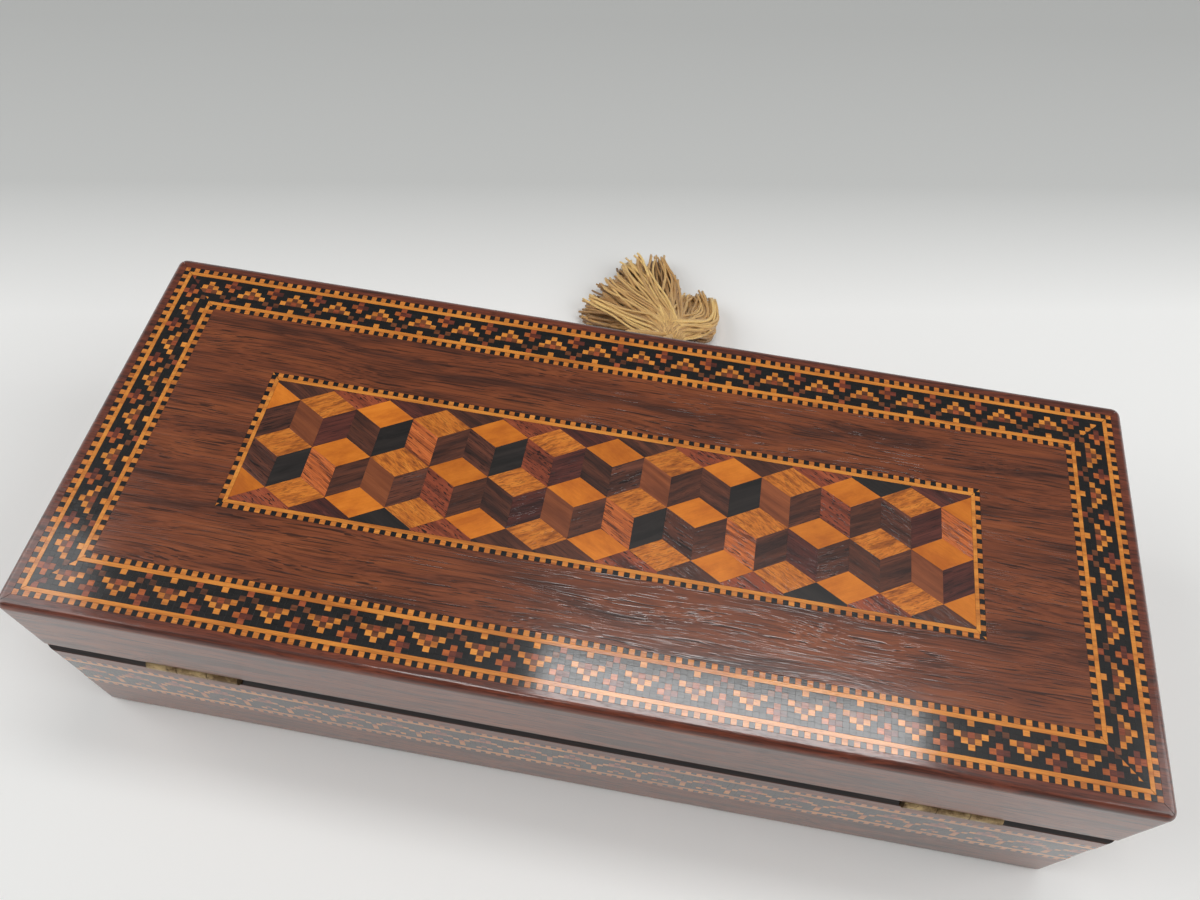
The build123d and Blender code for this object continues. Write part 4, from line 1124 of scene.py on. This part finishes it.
def lock_of_threads(direction, bend, layer, hip_share=HIP_SHARE):
    """A lock of the skirt: its threads keep together and wave alike; upper ones come over the head, and
    lower ones are darker with painted shade.
    """
    fullness = draw.uniform(0.88, 1.0)
    wave = draw.uniform(0.5, 1.5) * MM
    phase = draw.uniform(0, math.tau)
    waves = draw.uniform(0.6, 1.3)
    # Painted shade: the lower the lock, the darker its tone, for the shade under the upper locks
    shade = 1.5 * layer - 0.85 + draw.uniform(-0.35, 0.35)
    for strand in range(STRANDS_IN_LOCK):
        turned = direction + draw.gauss(0, 3.0)
        length = skirt_reach(turned) * fullness * draw.uniform(0.9, 1.0)
        sine, cosine = math.sin(math.radians(turned)), math.cos(math.radians(turned))
        around = math.atan2(-sine, cosine) + draw.uniform(-0.35, 0.35)
        if layer > OVER_HEAD_LAYER:
            lead, heading = over_head(around, draw.uniform(-1, 1) * OVER_HEAD_HALF_WIDTH)
            start = lead.pop()
            knee = start + heading * draw.uniform(3.0, 5.0) * MM
        else:
            lead = []
            inside = BINDING_RADIUS * math.sqrt(draw.random())
            start = around_tassel(0.8 * inside, around, -0.8 * BINDING_LENGTH)
            knee = start - TASSEL_DIRECTION * draw.uniform(2.0, 3.5) * MM
            knee += level_place(turned + bend, 2.5 * MM, 0) - level_place(turned, 0, 0)
            knee.z = min(knee.z + 1.5 * layer * MM, SKIRT_TOP)
        rise = draw.uniform(-1.1, 1.1)
        hip_height = (LOW_HIP + HIP_RISE * layer + rise) * MM
        hip = level_place(turned + bend, length * hip_share, hip_height)
        end = level_place(turned, length, (LOW_END + END_RISE * layer + rise) * MM)
        across = Vector((-sine, cosine, 0.5))
        own_wave = draw.uniform(0.1, 0.45) * MM
        own_phase = draw.uniform(0, math.tau)
        ceiling = max(SKIRT_TOP + 0.5 * MM, start.z)
        points = lead
        for step in range(STRAND_STEPS + 1):
            share = step / STRAND_STEPS
            swing = wave * share * math.sin(phase + math.tau * waves * share)
            swing += own_wave * share * math.sin(own_phase + 2.5 * math.tau * share)
            point = bezier((start, knee, hip, end), share) + across * swing
            point.z = min(max(point.z, STRAND_RADIUS), ceiling)
            points.append(point)
        tone = min(max(shade + draw.uniform(-0.4, 0.4), -1.0), 1.0)
        radius = STRAND_RADIUS * draw.uniform(0.85, 1.12)
        skirt.add(points, radius, lay=draw.uniform(1.9, 2.8) * MM, tone=tone)


for number in range(FAN_LOCKS):
    direction = FAN_START + FAN_SPREAD * (number * GOLDEN_SHARE % 1) + draw.uniform(-2, 2)
    lock_of_threads(direction, draw.uniform(-16, 16), draw.random() ** 1.5)
for number in range(SIDE_LOCKS):
    outer = number / (SIDE_LOCKS - 1)
    bend = -52 - 14 * outer + draw.uniform(-6, 6)
    direction = SIDE_START - SIDE_SPREAD * outer + draw.uniform(-2, 2)
    lock_of_threads(direction, bend, draw.random(), HIP_SHARE + 0.36 * outer)
skirt_piece = skirt.make("tassel_skirt")

CORD_DIAMETER = 1.5 * MM
CORD_ROUTE = [
    (-8.6, -87.5, 14.1),
    (-7.9, -84.0, 17.6),
    (-6.2, -79.6, 21.8),
    (-5.369, -74.3, 25.0),
    (0.0, -71.2, 25.0),
    (5.369, -74.3, 25.0),
    (5.8, -79.8, 22.4),
    (-2.3, -84.4, 17.9),
    (-6.6, -87.5, 14.1),
]


def smooth_line(route):
    """Points along the smooth line of a route, in metres."""
    curve = bpy.data.curves.new("route", "CURVE")
    curve.dimensions = "3D"
    curve.resolution_u = 24
    spline = curve.splines.new("NURBS")
    spline.points.add(len(route) - 1)
    for point, corner in zip(spline.points, route):
        point.co = (*[value * MM for value in corner], 1.0)
    spline.order_u = 3
    spline.use_endpoint_u = True
    holder = bpy.data.objects.new("route", curve)
    mesh = bpy.data.meshes.new_from_object(holder)
    line = [tuple(vertex.co) for vertex in mesh.vertices]
    bpy.data.objects.remove(holder)
    bpy.data.meshes.remove(mesh)
    return line


cord_line = smooth_line(CORD_ROUTE)
cord = Threads("tassel_cord_rope", seed=25)
cord.add(cord_line, CORD_DIAMETER / 2, plies=3, lay=4.2 * MM, sides=18, tone=0.1)
cord_piece = cord.make("tassel_cord")
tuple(cord_line[0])


# Floor, world and lamps


FLOOR_HALF = 4.0
FLOOR_SLANT = 0.21
GREY_TO_PALE = (-0.27, -0.09)
FAR_FLOOR = (0.55, 1.6)


def floor_material():
    """Pale matt floor with painted shade that grows greyer towards the far side, and painted light that
    keeps it pale far from the lamps.
    """
    shader = Shader("floor")
    place = shader.add("SeparateXYZ", shader.object_place())
    depth = shader.math("SUBTRACT", place.outputs["Y"], shader.times(place.outputs["X"], FLOOR_SLANT))
    # Painted shade: greyer towards the far side, where the lamps' light falls off
    nearness = shader.spread(depth, *GREY_TO_PALE)
    distance = shader.add("VectorMath", shader.object_place(), operation="LENGTH").outputs["Value"]
    # Painted light: far from the lamps the floor glows for camera, glossy and transmission rays
    far_glow = shader.spread(distance, *FAR_FLOOR, 0.0, 0.5)
    rays = shader.add("LightPath").outputs
    seen = shader.math("MAXIMUM", rays["Is Camera Ray"], rays["Is Glossy Ray"])
    seen = shader.math("MAXIMUM", seen, rays["Is Transmission Ray"])
    grey, middle, pale = all_srgb((186, 187, 185), (199, 200, 198), (245, 245, 243))
    shader.set(
        Base_Color=shader.ramp(nearness, (0.0, grey), (0.55, middle), (0.9, pale)),
        Roughness=0.85,
        Emission_Color=(1.0, 1.0, 1.0, 1.0),
        Emission_Strength=shader.times(far_glow, seen),
    )
    return shader.material


def make_floor():
    mesh = bpy.data.meshes.new("floor")
    corners = rectangle(-FLOOR_HALF, -FLOOR_HALF, FLOOR_HALF, FLOOR_HALF)
    mesh.from_pydata([(x, y, 0) for x, y in corners], [], [(0, 1, 2, 3)])
    mesh.materials.append(floor_material())
    floor = bpy.data.objects.new("floor", mesh)
    bpy.context.scene.collection.objects.link(floor)


# Strength of the light by height, from 0 at the horizon to 1 overhead
SKY_STRENGTHS = ((0.05, 0.65), (0.45, 0.18), (0.74, 0.13), (0.92, 0.03))


def light_round_about(tree):
    """Pale walls at the horizon under a darker ceiling."""
    background = tree.nodes["Background"]
    background.inputs["Color"].default_value = (0.97, 0.985, 1.0, 1.0)
    kinds = ("TexCoord", "SeparateXYZ", "ValToRGB")
    direction, split, fall = (tree.nodes.new("ShaderNode" + kind) for kind in kinds)
    tree.links.new(direction.outputs["Generated"], split.inputs[0])
    tree.links.new(split.outputs["Z"], fall.inputs[0])
    fill_ramp(fall, [(height, (*[strength] * 3, 1.0)) for height, strength in SKY_STRENGTHS])
    tree.links.new(fall.outputs[0], background.inputs["Strength"])


def lamp(name, place, target, size, power):
    """A rectangular lamp that faces its target; the power is in watts."""
    light = bpy.data.lights.new(name, "AREA")
    light.shape = "RECTANGLE"
    light.size, light.size_y = size
    light.energy = power
    holder = bpy.data.objects.new(name, light)
    holder.location = place
    holder.rotation_euler = (Vector(target) - Vector(place)).to_track_quat("-Z", "Y").to_euler()
    bpy.context.scene.collection.objects.link(holder)


make_floor()
world = bpy.data.worlds.new("studio")
bpy.context.scene.world = world
world.use_nodes = True
light_round_about(world.node_tree)
BOX_MIDDLE = (0.0, 0.0, 0.03)
# The window's reflection lies along the border at the hinges; the softboxes light both ends
lamp("window", (-0.15, -0.21, 0.99), (-0.15, -0.21, 0.0), (0.46, 0.18), 2.3)
lamp("near_window", (0.16, 0.1, 1.0), BOX_MIDDLE, (0.3, 0.12), 0.9)
lamp("left_softbox", (0.95, 0.1, 0.75), BOX_MIDDLE, (0.9, 0.9), 6.7)
lamp("right_softbox", (-0.95, 0.1, 0.75), BOX_MIDDLE, (0.9, 0.9), 6.7)
